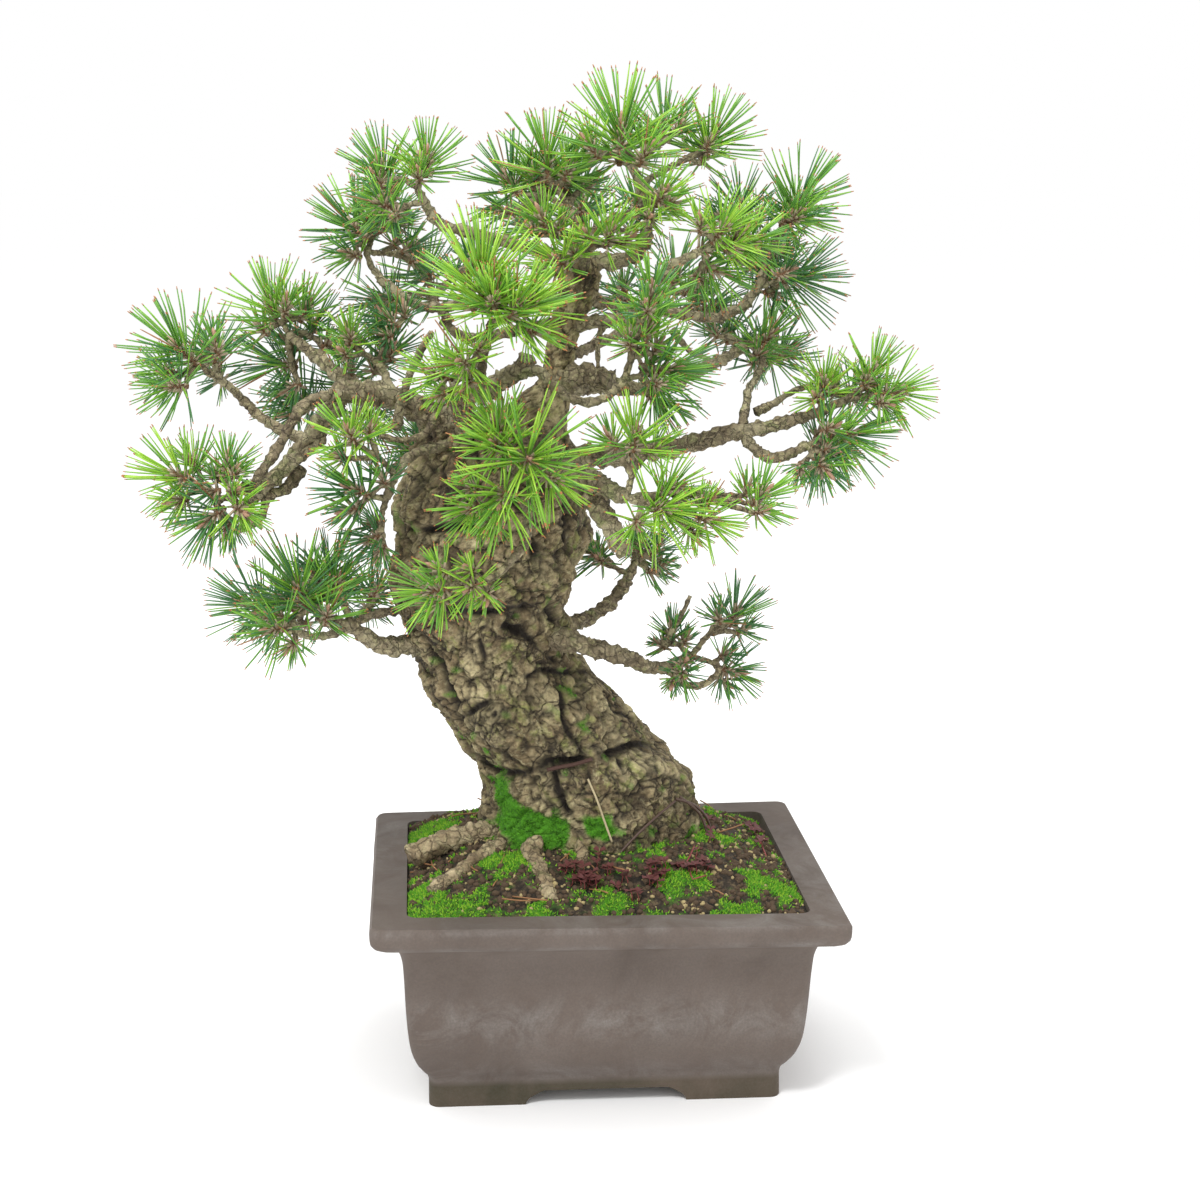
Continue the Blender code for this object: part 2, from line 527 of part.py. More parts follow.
def pot_ring(inset, height, corner_steps=3, side_steps=1):
    half_x = POT_WIDTH / 2 - inset * MM
    half_y = POT_DEPTH / 2 - inset * MM
    ring = rounded_rectangle(half_x, half_y, CORNER_RADIUS * MM, corner_steps, side_steps)
    return [twisted(p.x, p.y, height * MM) for p in ring]


def foot_cutter(collection):
    """The room under the pot between its bracket feet, wider at the ground."""
    outer_x = POT_WIDTH / 2
    outer_y = POT_DEPTH / 2
    inner_x = POT_WIDTH / 2 - (FOOT_INSET + BRACKET_WIDTH) * MM
    inner_y = POT_DEPTH / 2 - (FOOT_INSET + BRACKET_WIDTH) * MM
    rings = []
    for share in (-0.2, 0.0, 0.35, 0.7, 1.0):
        curve = max(share, 0) ** 2
        front = (FRONT_ARCH_HALF[0] + (FRONT_ARCH_HALF[1] - FRONT_ARCH_HALF[0]) * curve) * MM
        side = (SIDE_ARCH_HALF[0] + (SIDE_ARCH_HALF[1] - SIDE_ARCH_HALF[0]) * curve) * MM
        quarter = ((outer_x, side), (inner_x, side), (inner_x, inner_y), (front, inner_y), (front, outer_y))
        outline = list(quarter)
        outline += [(-x, y) for x, y in reversed(quarter)]
        outline += [(-x, -y) for x, y in quarter]
        outline += [(x, -y) for x, y in reversed(quarter)]
        rings.append([Vector((x, y, FOOT_HEIGHT * MM * share)) for x, y in outline])
    return loft(rings, "foot_cutter", collection)


def drain_cutter(name, x, collection):
    bm = bmesh.new()
    depth = 30 * MM
    bmesh.ops.create_cone(
        bm, cap_ends=True, segments=16, radius1=DRAIN_RADIUS * MM, radius2=DRAIN_RADIUS * MM, depth=depth
    )
    obj = object_from(bm, name, collection)
    obj.location = (x * MM, 0, FOOT_HEIGHT * MM)
    return obj


def make_pot(parts, cutters):
    rings = [pot_ring(inset, height) for inset, height in OUTER_PROFILE + INNER_PROFILE]
    rings.append(pot_ring(46.0, FOOT_HEIGHT + FLOOR_THICKNESS))
    pot = loft(rings, "pot", parts)
    cut(pot, foot_cutter(cutters))
    cut(pot, drain_cutter("drain_cutter_left", -DRAIN_OFFSET, cutters))
    cut(pot, drain_cutter("drain_cutter_right", DRAIN_OFFSET, cutters))
    give_material(pot, CLAY)
    return pot


def cavity_inset(height):
    """Inset of the pot's inner wall at a height, in millimetres."""
    for (upper_inset, upper), (lower_inset, lower) in zip(INNER_PROFILE, INNER_PROFILE[1:]):
        if height >= lower:
            share = (upper - height) / (upper - lower)
            return upper_inset + (lower_inset - upper_inset) * share
    return INNER_PROFILE[-1][0]


def soil_edge_height(x, y):
    """Height of the soil along the rim, in millimetres: it lies lower at the right back."""
    right = max(x * 2 / POT_WIDTH, 0)
    back = max(y * 2 / POT_DEPTH, 0)
    return RIM_SOIL - RIGHT_BACK_DROP * right * back


def make_soil(name, lift, collection):
    """The soil body: bottom, four levels up the wall, then rings in to the trunk's foot."""
    rings = []
    bottom = FOOT_HEIGHT + FLOOR_THICKNESS + GAP / MM
    for height in (bottom, 26.0, 52.0, 90.0, 116.0):
        inset = 46.0 if height == bottom else cavity_inset(height)
        rings.append(pot_ring(inset + GAP / MM * 1.4, height, 3, 4))
    _, foot_x, foot_y, foot_half = TRUNK_LEVELS[0]
    edge = pot_ring(cavity_inset(120) + GAP / MM * 1.4, 120, 3, 4)
    edge_ring = []
    for p in edge:
        height = soil_edge_height(p.x, p.y)
        inset = cavity_inset(height) + GAP / MM * 1.4
        scale_x = (POT_WIDTH / 2 - inset * MM) / (POT_WIDTH / 2 - (cavity_inset(120) + GAP / MM * 1.4) * MM)
        scale_y = (POT_DEPTH / 2 - inset * MM) / (POT_DEPTH / 2 - (cavity_inset(120) + GAP / MM * 1.4) * MM)
        edge_ring.append(twisted(p.x * scale_x, p.y * scale_y, height * MM))
    rings.append([p + Vector((0, 0, lift)) for p in edge_ring])
    foot = Vector((foot_x, foot_y, 0)) * MM
    reach_x = (foot_half + MOUND_MARGIN + 8) * MM
    reach_y = (foot_half * DEPTH_RATIO + MOUND_MARGIN + 8) * MM
    for share in (0.10, 0.25, 0.42, 0.60, 0.80, 1.0):
        ring = []
        for p in edge_ring:
            angle = math.atan2((p.y - foot.y) / reach_y, (p.x - foot.x) / reach_x)
            top = Vector((foot.x + math.cos(angle) * reach_x, foot.y + math.sin(angle) * reach_y, MOUND_TOP * MM))
            place = p.lerp(top, share)
            rise = 1 - (1 - share) ** 1.3
            bump = SOIL_BUMP * MM * noise.noise(place * 45) * (1 - share)
            place.z = min(p.z + (top.z - p.z) * rise + bump, MOUND_TOP * MM) + lift
            ring.append(place)
        rings.append(ring)
    return loft(rings, name, collection)


def trunk_middle(height):
    """Middle and half width of the trunk at a height, in millimetres, on smooth curves."""
    heights = [level[0] for level in TRUNK_LEVELS]
    return [float(np.interp(height, heights, [level[i] for level in TRUNK_LEVELS])) for i in (1, 2, 3)]


def trunk_relief(angle, height):
    """How far lumps and bark ridges stand out of the trunk, in millimetres."""
    relief = 0.0
    for lump_angle, lump_height, spread, rise, size in TRUNK_LUMPS:
        turn = (angle - lump_angle + 180) % 360 - 180
        relief += size * math.exp(-((turn / spread) ** 2) - ((height - lump_height) / rise) ** 2)
    across = math.radians(angle)
    place = Vector((math.cos(across) * 2.4, math.sin(across) * 2.4, height / 34))
    return relief + 4.0 * noise.noise(place) + 2.0 * noise.noise(place * 2.3)


def trunk_ring(height, grow):
    x, y, half = trunk_middle(height)
    settle = min(1, max(0, (440 - height) / 30))
    ring = []
    for side in range(TRUNK_SIDES):
        angle = 360 * side / TRUNK_SIDES
        radius = half + trunk_relief(angle, height) * settle + grow
        turn = math.radians(angle)
        ring.append(point((x + math.cos(turn) * radius, y + math.sin(turn) * radius * DEPTH_RATIO, height)))
    return ring


def trunk_heights(grow):
    bottom = MOUND_TOP + GAP / MM - grow
    top = TRUNK_LEVELS[-1][0]
    count = round((top - bottom) / TRUNK_RING_STEP)
    return [bottom + (top - bottom) * step / count for step in range(count + 1)]


def make_trunk(name, grow, parts, workshop):
    """The thick trunk and the leader that rises from its shoulder, joined."""
    body = loft([trunk_ring(height, grow) for height in trunk_heights(grow)], name + "_body", workshop)
    leader_part = bpy.data.collections.new(name + "_leader")
    bpy.context.scene.collection.children.link(leader_part)
    radii = [(radius + grow) * MM for radius in LEADER_RADII]
    route = [point(place) for place in LEADER_ROUTE]
    if grow:
        route = lengthened(route, grow * MM)
    tube(route, radii, name + "_leader", leader_part, 3)
    joined(body, leader_part, name, parts, workshop)
    keep_largest_body(body)
    return body


def reserve_trunk(taken):
    """Marks the trunk's room with rods side by side along its width."""
    for lower, upper in zip(TRUNK_LEVELS, TRUNK_LEVELS[1:]):
        start = point((lower[1], lower[2], lower[0]))
        end = point((upper[1], upper[2], upper[0]))
        taken.add("trunk", start, end, lower[3] * MM * 0.98, upper[3] * MM * 0.98)
    route = [point(place) for place in LEADER_ROUTE]
    taken.add_route("trunk", route, [radius * MM for radius in LEADER_RADII])


def make_limb(name, base, tip, places, carriers, finish, parts, cutters, taken):
    """A root or bough: a tapering tube, trimmed clear of what carries it."""
    route = smooth_route(places, LIMB_STEP * MM)
    radii = taper(len(route), base, tip, len(places) + base)
    limb = tube(route, radii, name, parts, 1)
    for carrier in carriers:
        cut(limb, carrier)
    fat_radii = [radius + GAP for radius in radii]
    clearance = tube(lengthened(route, GAP), fat_radii, name + "_clearance", cutters, 1)
    clearance.hide_render = True
    clearance.display_type = "WIRE"
    taken.add_route(name, route, radii)
    give_material(limb, finish)
    return limb, clearance


def spread_directions(count, turn):
    """Directions spread evenly over a ball, by the golden angle."""
    golden = math.pi * (3 - math.sqrt(5))
    directions = []
    for index in range(count):
        z = 1 - 2 * (index + 0.5) / count
        across = math.sqrt(1 - z * z)
        angle = golden * index + turn
        directions.append(Vector((across * math.cos(angle), across * math.sin(angle), z)))
    return directions


def make_spray(twig, collection, taken, rng):
    """A slim core along the shoot with needles standing out of its faces."""
    middle, aim, reach = twig["middle"], twig["aim"], twig["reach"]
    core_radius = max(CORE_RADIUS_SHARE * reach, LEAST_CORE_RADIUS * MM)
    core_length = CORE_LENGTH_SHARE * reach
    turn = aim.to_track_quat("Z", "Y")
    bm = bmesh.new()
    for direction in spread_directions(CORE_POINTS[reach > LARGE_SPRAY_REACH * MM], rng.uniform(0, math.tau)):
        local = Vector((direction.x * core_radius, direction.y * core_radius, direction.z * core_length))
        bm.verts.new(middle + turn @ local)
    bmesh.ops.convex_hull(bm, input=bm.verts)
    bmesh.ops.recalc_face_normals(bm, faces=bm.faces)
    for face in list(bm.faces):
        facing = face.normal.dot(aim)
        jitter = Vector([rng.uniform(-NEEDLE_JITTER, NEEDLE_JITTER) for _ in range(3)])
        heading = (face.normal + aim * FORWARD_SWEEP + jitter).normalized()
        length = reach * rng.uniform(0.82, 1.0) * (0.8 if facing < -0.2 else 1.0)
        if facing < BARE_BACK:
            continue
        root = face.calc_center_median()
        root_radius = max((corner.co - root).length for corner in face.verts) * 0.8
        for share in NEEDLE_TRIES:
            tip = middle + heading * length * share
            if taken.is_free([twig["owner"]], root, tip, root_radius, NEEDLE_TIP_RADIUS, GAP):
                taken.add(twig["owner"], root, tip, root_radius, NEEDLE_TIP_RADIUS)
                bmesh.ops.poke(bm, faces=[face])["verts"][0].co = tip
                break
    return object_from(bm, twig["owner"], collection)


def twig_route(start, end, rng):
    """A twig's run from its stem to a spray, with one slight bend."""
    bend = Vector((rng.uniform(-1, 1), rng.uniform(-1, 1), rng.uniform(-0.6, 0.6)))
    middle = (start + end) / 2 + bend * (end - start).length * TWIG_BEND
    return [start, middle, end]


def nearest_on(route, place):
    """The point in the outer half of a stem that a twig to the place leaves from."""
    return min(route[len(route) // 2:], key=lambda node: (node - place).length)


def new_twig(owner, start, middle, aim, reach, rng):
    radii = [TWIG_TIP_RADIUS * MM * size for size in (1.25, 1.1, 1.0)]
    route = twig_route(start, middle, rng)
    return {"owner": owner, "route": route, "radii": radii, "middle": middle, "aim": aim, "reach": reach}


def side_twig(owner, main, rng):
    """A shorter shoot that leaves the middle of a main twig and spreads beside its spray."""
    aim, reach = main["aim"], main["reach"]
    across = aim.orthogonal().normalized()
    around = rng.uniform(0, math.tau)
    side = across * math.cos(around) + aim.cross(across) * math.sin(around)
    middle = main["middle"] + side * reach * 0.46 - aim * reach * 0.16
    heading = (aim + side * 0.9).normalized()
    return new_twig(owner, main["route"][1], middle, heading, reach * 0.72, rng)


def plan_mass(index, entry, taken):
    """Settles a mass's stem and twigs, and marks their room before any needle grows."""
    name, carrier, radius, places, sprays = entry
    rng = random.Random(SEED * 100 + index)
    stem_route = smooth_route(places, STEM_STEP * MM)
    stem_radii = taper(len(stem_route), radius, max(radius * 0.75, TWIG_TIP_RADIUS), index)
    taken.add_route(name, stem_route[1:], stem_radii[1:])
    twigs = []
    for place, aim, reach in sprays:
        middle = point(place)
        owner = f"{name}_{len(twigs)}"
        start = nearest_on(stem_route, middle)
        main = new_twig(owner, start, middle, Vector(aim).normalized(), reach * MM, rng)
        twigs.append(main)
        if reach < SIDE_SHOOT_REACH:
            continue
        side = side_twig(f"{name}_{len(twigs)}", main, rng)
        core = max(CORE_RADIUS_SHARE * side["reach"], LEAST_CORE_RADIUS * MM) * 1.6
        if taken.is_free([name], side["route"][1], side["middle"], 2 * MM, core, GAP):
            twigs.append(side)
    for twig in twigs:
        taken.add_route(twig["owner"], twig["route"], twig["radii"])
        core_radius = max(CORE_RADIUS_SHARE * twig["reach"], LEAST_CORE_RADIUS * MM)
        core_end = twig["aim"] * CORE_LENGTH_SHARE * twig["reach"]
        taken.add(twig["owner"], twig["middle"] - core_end, twig["middle"] + core_end, core_radius, core_radius)
    return {"name": name, "carrier": carrier, "route": stem_route, "radii": stem_radii, "twigs": twigs, "rng": rng}


def make_mass(plan, parts, workshop, carriers, taken):
    """One foliage mass: a stem, twigs that branch from it, and their sprays, in one body."""
    name = plan["name"]
    stem = tube(plan["route"], plan["radii"], name + "_stem", workshop, 1)
    others = bpy.data.collections.new(name + "_sprays")
    bpy.context.scene.collection.children.link(others)
    for twig in plan["twigs"]:
        tube(twig["route"], twig["radii"], twig["owner"] + "_twig", others, 0)
        make_spray(twig, others, taken, plan["rng"])
    for cutter in carriers[plan["carrier"]]:
        cut(stem, cutter)
    apply_modifiers(stem)
    joined(stem, others, name, parts, workshop)
    keep_largest_body(stem)
    give_material(stem, NEEDLES)


def shift_to_box_middle(objects, name):
    """Parents everything to an empty, so that the box's underside has its middle at the origin."""
    graph = bpy.context.evaluated_depsgraph_get()
    corners = []
    for obj in objects:
        evaluated = obj.evaluated_get(graph)
        corners += [evaluated.matrix_world @ vertex.co for vertex in evaluated.data.vertices]
    lows = [min(corner[axis] for corner in corners) for axis in range(3)]
    highs = [max(corner[axis] for corner in corners) for axis in range(3)]
    origin = bpy.data.objects.new(name, None)
    bpy.context.scene.collection.objects.link(origin)
    for obj in list(bpy.data.objects):
        if obj != origin:
            obj.parent = origin
    origin.location = (-(lows[0] + highs[0]) / 2, -(lows[1] + highs[1]) / 2, -lows[2])


def main():
    clear_scene()
    parts = new_collection("potted_black_pine")
    cutters = new_collection("cutters")
    workshop = new_collection("workshop")
    taken = TakenSpace()

    make_pot(parts, cutters)
    soil = make_soil("soil", 0.0, parts)
    give_material(soil, EARTH)
    soil_clearance = make_soil("soil_clearance", GAP, cutters)
    trunk = make_trunk("trunk", 0.0, parts, workshop)
    give_material(trunk, BARK)
    trunk_clearance = make_trunk("trunk_clearance", GAP / MM, cutters, workshop)
    reserve_trunk(taken)
    for root_name, base, tip, places in ROOTS:
        carriers = (trunk_clearance, soil_clearance)
        make_limb(root_name, base, tip, places, carriers, ROOT_BARK, parts, cutters, taken)
    clearances = {"trunk": [trunk_clearance]}
    for bough_name, carrier, base, tip, places in BOUGHS:
        carriers = clearances[carrier]
        _, clearance = make_limb(bough_name, base, tip, places, carriers, TWIG_BARK, parts, cutters, taken)
        clearances[bough_name] = [clearance]
    plans = [plan_mass(index, entry, taken) for index, entry in enumerate(MASSES)]
    for plan in plans:
        make_mass(plan, parts, workshop, clearances, taken)
    bpy.data.collections.remove(workshop)
    shift_to_box_middle(parts.objects, "pine_origin")


main()
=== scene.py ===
"""Looks of the potted black pine: bark, twigs, needles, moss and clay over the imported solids.

Places are millimetres from the middle of the pot on the ground, as in the part's source. What is
taken from the photograph is given as named pixel places, carried to a depth by the camera's rule.
"""

import math
import random

import bmesh
import bpy
import numpy as np
from mathutils import Matrix, Vector, noise


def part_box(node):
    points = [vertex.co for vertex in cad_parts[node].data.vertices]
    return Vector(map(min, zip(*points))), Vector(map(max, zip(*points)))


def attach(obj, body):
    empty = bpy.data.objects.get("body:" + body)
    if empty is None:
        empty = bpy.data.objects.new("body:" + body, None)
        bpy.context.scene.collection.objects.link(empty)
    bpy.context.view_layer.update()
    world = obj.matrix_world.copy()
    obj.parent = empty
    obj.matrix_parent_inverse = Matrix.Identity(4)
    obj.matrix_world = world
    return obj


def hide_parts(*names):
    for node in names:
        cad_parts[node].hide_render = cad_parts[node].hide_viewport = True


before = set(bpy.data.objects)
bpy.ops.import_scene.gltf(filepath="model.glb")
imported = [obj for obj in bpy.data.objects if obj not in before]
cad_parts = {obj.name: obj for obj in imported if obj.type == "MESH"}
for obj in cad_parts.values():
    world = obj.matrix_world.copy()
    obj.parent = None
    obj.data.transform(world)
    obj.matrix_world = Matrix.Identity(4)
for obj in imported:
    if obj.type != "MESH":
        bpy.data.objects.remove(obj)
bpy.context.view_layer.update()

MM = 0.001
pot_low, pot_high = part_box("pot")
ORIGIN = np.array([(pot_low.x + pot_high.x) / 2, (pot_low.y + pot_high.y) / 2, 0.0])

# Camera: place in millimetres, focal length in pixels of the 1200-pixel photograph, turns in degrees.
CAMERA_PLACE = (-119.0, -1267.0, 592.0)
PHOTO_SIZE = 1200.0
FOCAL_PIXELS = 1994.0
CAMERA_YAW = 5.35
CAMERA_PITCH = 12.34
CAMERA_ROLL = 0.72

# Pot and soil, as in the part's source.
POT_WIDTH = 300.0
POT_DEPTH = 240.0
POT_HEIGHT = 133.0
RIM_TWIST = 2.0
FOOT_INSET = 36.0
FOOT_HEIGHT = 9.3
FLOOR_THICKNESS = 9.0
BRACKET_WIDTH = 16.0
FRONT_ARCH_HALF = (52.0, 40.0)
SIDE_ARCH_HALF = (39.0, 28.0)
CORNER_RADIUS = 7.0
OUTER_PROFILE = (
    (36.0, 0.0), (36.0, 17.6), (32.0, 25.0), (28.0, 32.0), (24.2, 44.0), (22.2, 62.0),
    (20.6, 91.0), (19.0, 106.0), (15.0, 113.5), (5.0, 117.5), (0.6, 121.5), (0.0, 130.5), (1.6, 133.0),
)
INNER_PROFILE = ((22.7, 133.0), (23.6, 127.0), (28.0, 116.0), (29.5, 90.0), (31.0, 50.0), (38.0, 24.0))
MOUND_TOP = 150.0
MOUND_MARGIN = 5.0
RIM_SOIL = 130.0
RIGHT_BACK_DROP = 8.0
DRAIN_PLACES = (-60, 60)
DRAIN_RADIUS = 9
RIM_TWIST_FROM = 60

# The pot's finer skin: how far in its floor ends, where the drain cutters end, length of a step up its
# profile, steps at a corner and along a side, and where, how much and how finely the walls waver.
FLOOR_EDGE_INSET = 46.0
DRAIN_ENDS = (-6.0, 24.0)
PROFILE_STEP = 2.4
POT_STEPS = (10, 36)
DRAIN_SIDES = 40
ARCH_LEVELS = (-0.2, 0.0, 0.2, 0.4, 0.6, 0.8, 0.92, 1.0)
SHARP_ANGLE = 38
WAVER_HEIGHTS = (12, 128)
WAVER_SHARE = 0.0028
WAVER_SIZE = 40
# Lime bloom: middle and spread of its bands at lip, under the lip, on the wall and low on it.
BLOOM_BANDS = ((132, 2.2), (119, 2.5), (62, 13), (22, 9))
DAMP_TOP = 17.5
DAMP_FADE = 4

# The soil's fine skin, its gap to the pot, and how far from the middle things may lie on it.
SOIL_STEPS = (8, 56)
SOIL_GAP = 0.45
SOIL_BOTTOM = 18.6
SOIL_SIDE_HEIGHTS = (26.0, 52.0, 90.0, 116.0)
MOUND_RINGS = 49
MOUND_SPREAD = 8
SOIL_HALF = (114.0, 84.0)
LITTER_HALF = (122, 92)
MOSS_SPOT_HEIGHT = 142
MOSS_COUNT = 15000
TRUNK_MOSS_COUNT = 4200
LITTER_COUNT = 70

# Trunk, roots, boughs and masses, as in the part's source.
SEED = 11
# Levels: height, middle and half width. Lumps: angle, height, spread, rise and size.
TRUNK_LEVELS = (
    (150, -3, 25, 69), (160, -4, 25, 67), (178, -8, 25, 66), (199, -17, 25, 66), (218, -30, 25, 64),
    (238, -46, 24, 63), (258, -60, 24, 57), (279, -70, 24, 54), (300, -76, 23, 56), (322, -77, 22, 61),
    (344, -74, 21, 60), (367, -70, 20, 60), (391, -70, 19, 58), (411, -70, 18, 52), (425, -64, 17, 42),
    (433, -58, 16, 29), (437, -55, 15, 13),
)
DEPTH_RATIO = 0.80
TRUNK_LUMPS = (
    (190, 152, 16, 22, 10), (222, 152, 15, 20, 9), (286, 152, 15, 18, 8), (343, 160, 18, 26, 13),
    (40, 152, 18, 26, 12), (95, 152, 18, 24, 10), (145, 152, 17, 24, 11), (350, 190, 22, 14, 9),
    (300, 196, 24, 20, 6), (245, 225, 22, 24, 6), (178, 372, 18, 14, 6), (2, 352, 16, 14, 9),
    (262, 262, 26, 22, -6), (230, 300, 22, 20, 5), (310, 330, 24, 26, 5), (90, 250, 30, 30, 6),
    (60, 330, 26, 30, 5), (130, 390, 28, 24, -5), (255, 395, 24, 22, 4),
)
LEADER_ROUTE = (
    (-50, 14, 412), (-38, 12, 436), (-33, 10, 446), (-29, 8, 458), (-28, 6, 471), (-25, 4, 486),
    (-21, 3, 501), (-17, 2, 514), (-16, 2, 525), (-14, 2, 535),
)
LEADER_RADII = (25, 18, 14, 10.5, 9.5, 10, 11, 12.5, 14.5, 8.5)
# Roots and boughs: name, radius at base and tip, route.
ROOTS = (
    ("root_left_cut", 8.0, 7.2,
     ((-40, 14, 156), (-72, 8, 153), (-96, 2, 151), (-116, -8, 147), (-124, -14, 144))),
    ("root_left_front", 5.4, 4.4, ((-54, 0, 152), (-74, -24, 150), (-92, -44, 145), (-112, -63, 139))),
    ("root_front", 6.4, 5.2,
     ((-34, -2, 156), (-46, -28, 152), (-43, -46, 147), (-39, -64, 141), (-36, -80, 136))),
    ("root_front_stub", 5.0, 4.0, ((-12, -6, 156), (-13, -26, 153), (-14, -46, 147))),
)
BOUGHS = (
    ("bough_left_main", 8.0, 3.0,
     ((-92, 14, 420), (-116, 6, 437), (-137, 0, 447), (-155, -5, 450), (-168, -8, 448), (-174, -11, 437),
      (-184, -15, 423), (-199, -21, 406), (-211, -26, 395), (-220, -30, 387), (-226, -33, 375))),
    ("bough_left_fore", 2.8, 2.2,
     ((-164, -9, 449), (-176, -24, 449), (-190, -36, 443), (-201, -42, 424),
      (-216, -48, 402), (-226, -50, 394))),
    ("bough_left_upper", 3.0, 2.2,
     ((-186, -16, 421), (-200, -6, 424), (-216, 0, 433), (-228, 7, 443))),
    ("bough_left_top", 4.0, 3.2,
     ((-150, -4, 449), (-163, 4, 455), (-175, 12, 465), (-182, 18, 471))),
    ("bough_low_left", 5.6, 3.0,
     ((-108, 14, 280), (-125, 4, 284), (-140, -5, 285), (-150, -10, 291), (-160, -16, 300), (-171, -21, 304),
      (-182, -25, 310))),
    ("bough_upper_left", 3.6, 2.4,
     ((-18, 3, 528), (-36, 4, 537), (-60, 0, 543), (-83, -6, 549), (-100, -10, 553), (-110, -12, 560))),
    ("bough_upper_left_outer", 3.2, 2.2,
     ((-20, 4, 504), (-42, 14, 508), (-66, 22, 507), (-108, 32, 500), (-126, 38, 506), (-142, 42, 518))),
    ("bough_back_left", 3.4, 2.4,
     ((-22, 6, 492), (-42, 36, 488), (-61, 54, 482), (-85, 68, 478), (-102, 76, 488))),
    ("bough_front_sawn", 7.0, 4.4,
     ((-74, 4, 420), (-92, -22, 438), (-88, -37, 452), (-77, -46, 456), (-66, -52, 463), (-56, -58, 469),
      (-52, -62, 477))),
    ("bough_right_stub", 5.6, 5.0, ((-28, 2, 456), (-12, -8, 461), (4, -18, 459))),
    ("bough_right_up", 3.6, 2.4,
     ((-22, 2, 492), (-1, -14, 496), (12, -24, 499), (23, -30, 507), (26, -34, 517), (33, -40, 528),
      (44, -46, 535))),
    ("bough_right_back", 3.4, 2.6,
     ((-18, 6, 508), (2, 22, 505), (20, 34, 499), (48, 44, 497), (77, 50, 493),
      (92, 54, 498), (102, 57, 503))),
    ("bough_right_back_low", 4.6, 3.0,
     ((-24, 8, 452), (0, 24, 451), (29, 34, 448), (46, 38, 450), (67, 40, 460), (85, 42, 467))),
    ("bough_right_main", 6.4, 3.0,
     ((-30, 8, 406), (-8, 0, 409), (11, -4, 410), (36, -8, 413), (58, -10, 419), (86, -12, 426),
      (100, -12, 428), (116, -13, 432), (130, -14, 436))),
    ("bough_front_right", 8.5, 6.2,
     ((-46, -10, 414), (-30, -40, 406), (-15, -66, 402), (-8, -80, 401))),
    ("bough_front_right_stub", 5.6, 4.6,
     ((-18, -60, 401), (-10, -76, 391), (-3, -84, 378), (3, -88, 368), (7, -90, 361))),
    ("bough_low_back", 4.6, 3.4,
     ((-44, 44, 280), (-20, 50, 284), (-4, 62, 287), (10, 72, 292), (20, 80, 301), (27, 85, 309))),
    ("bough_low_right", 5.6, 4.4,
     ((-44, 4, 290), (-21, -9, 289), (-6, -18, 286), (9, -22, 282), (22, -24, 278))),
    ("bough_apex", 4.4, 2.8,
     ((-14, 2, 529), (-2, 2, 531), (12, -1, 533), (22, -4, 539), (26, -8, 555), (26, -10, 568))),
    ("bough_back_low", 5.0, 3.0, ((-74, 50, 290), (-74, 86, 296), (-68, 108, 306), (-64, 124, 314))),
    ("bough_back_middle", 4.6, 3.0,
     ((-74, 40, 362), (-82, 84, 372), (-88, 106, 382), (-90, 118, 390))),
)
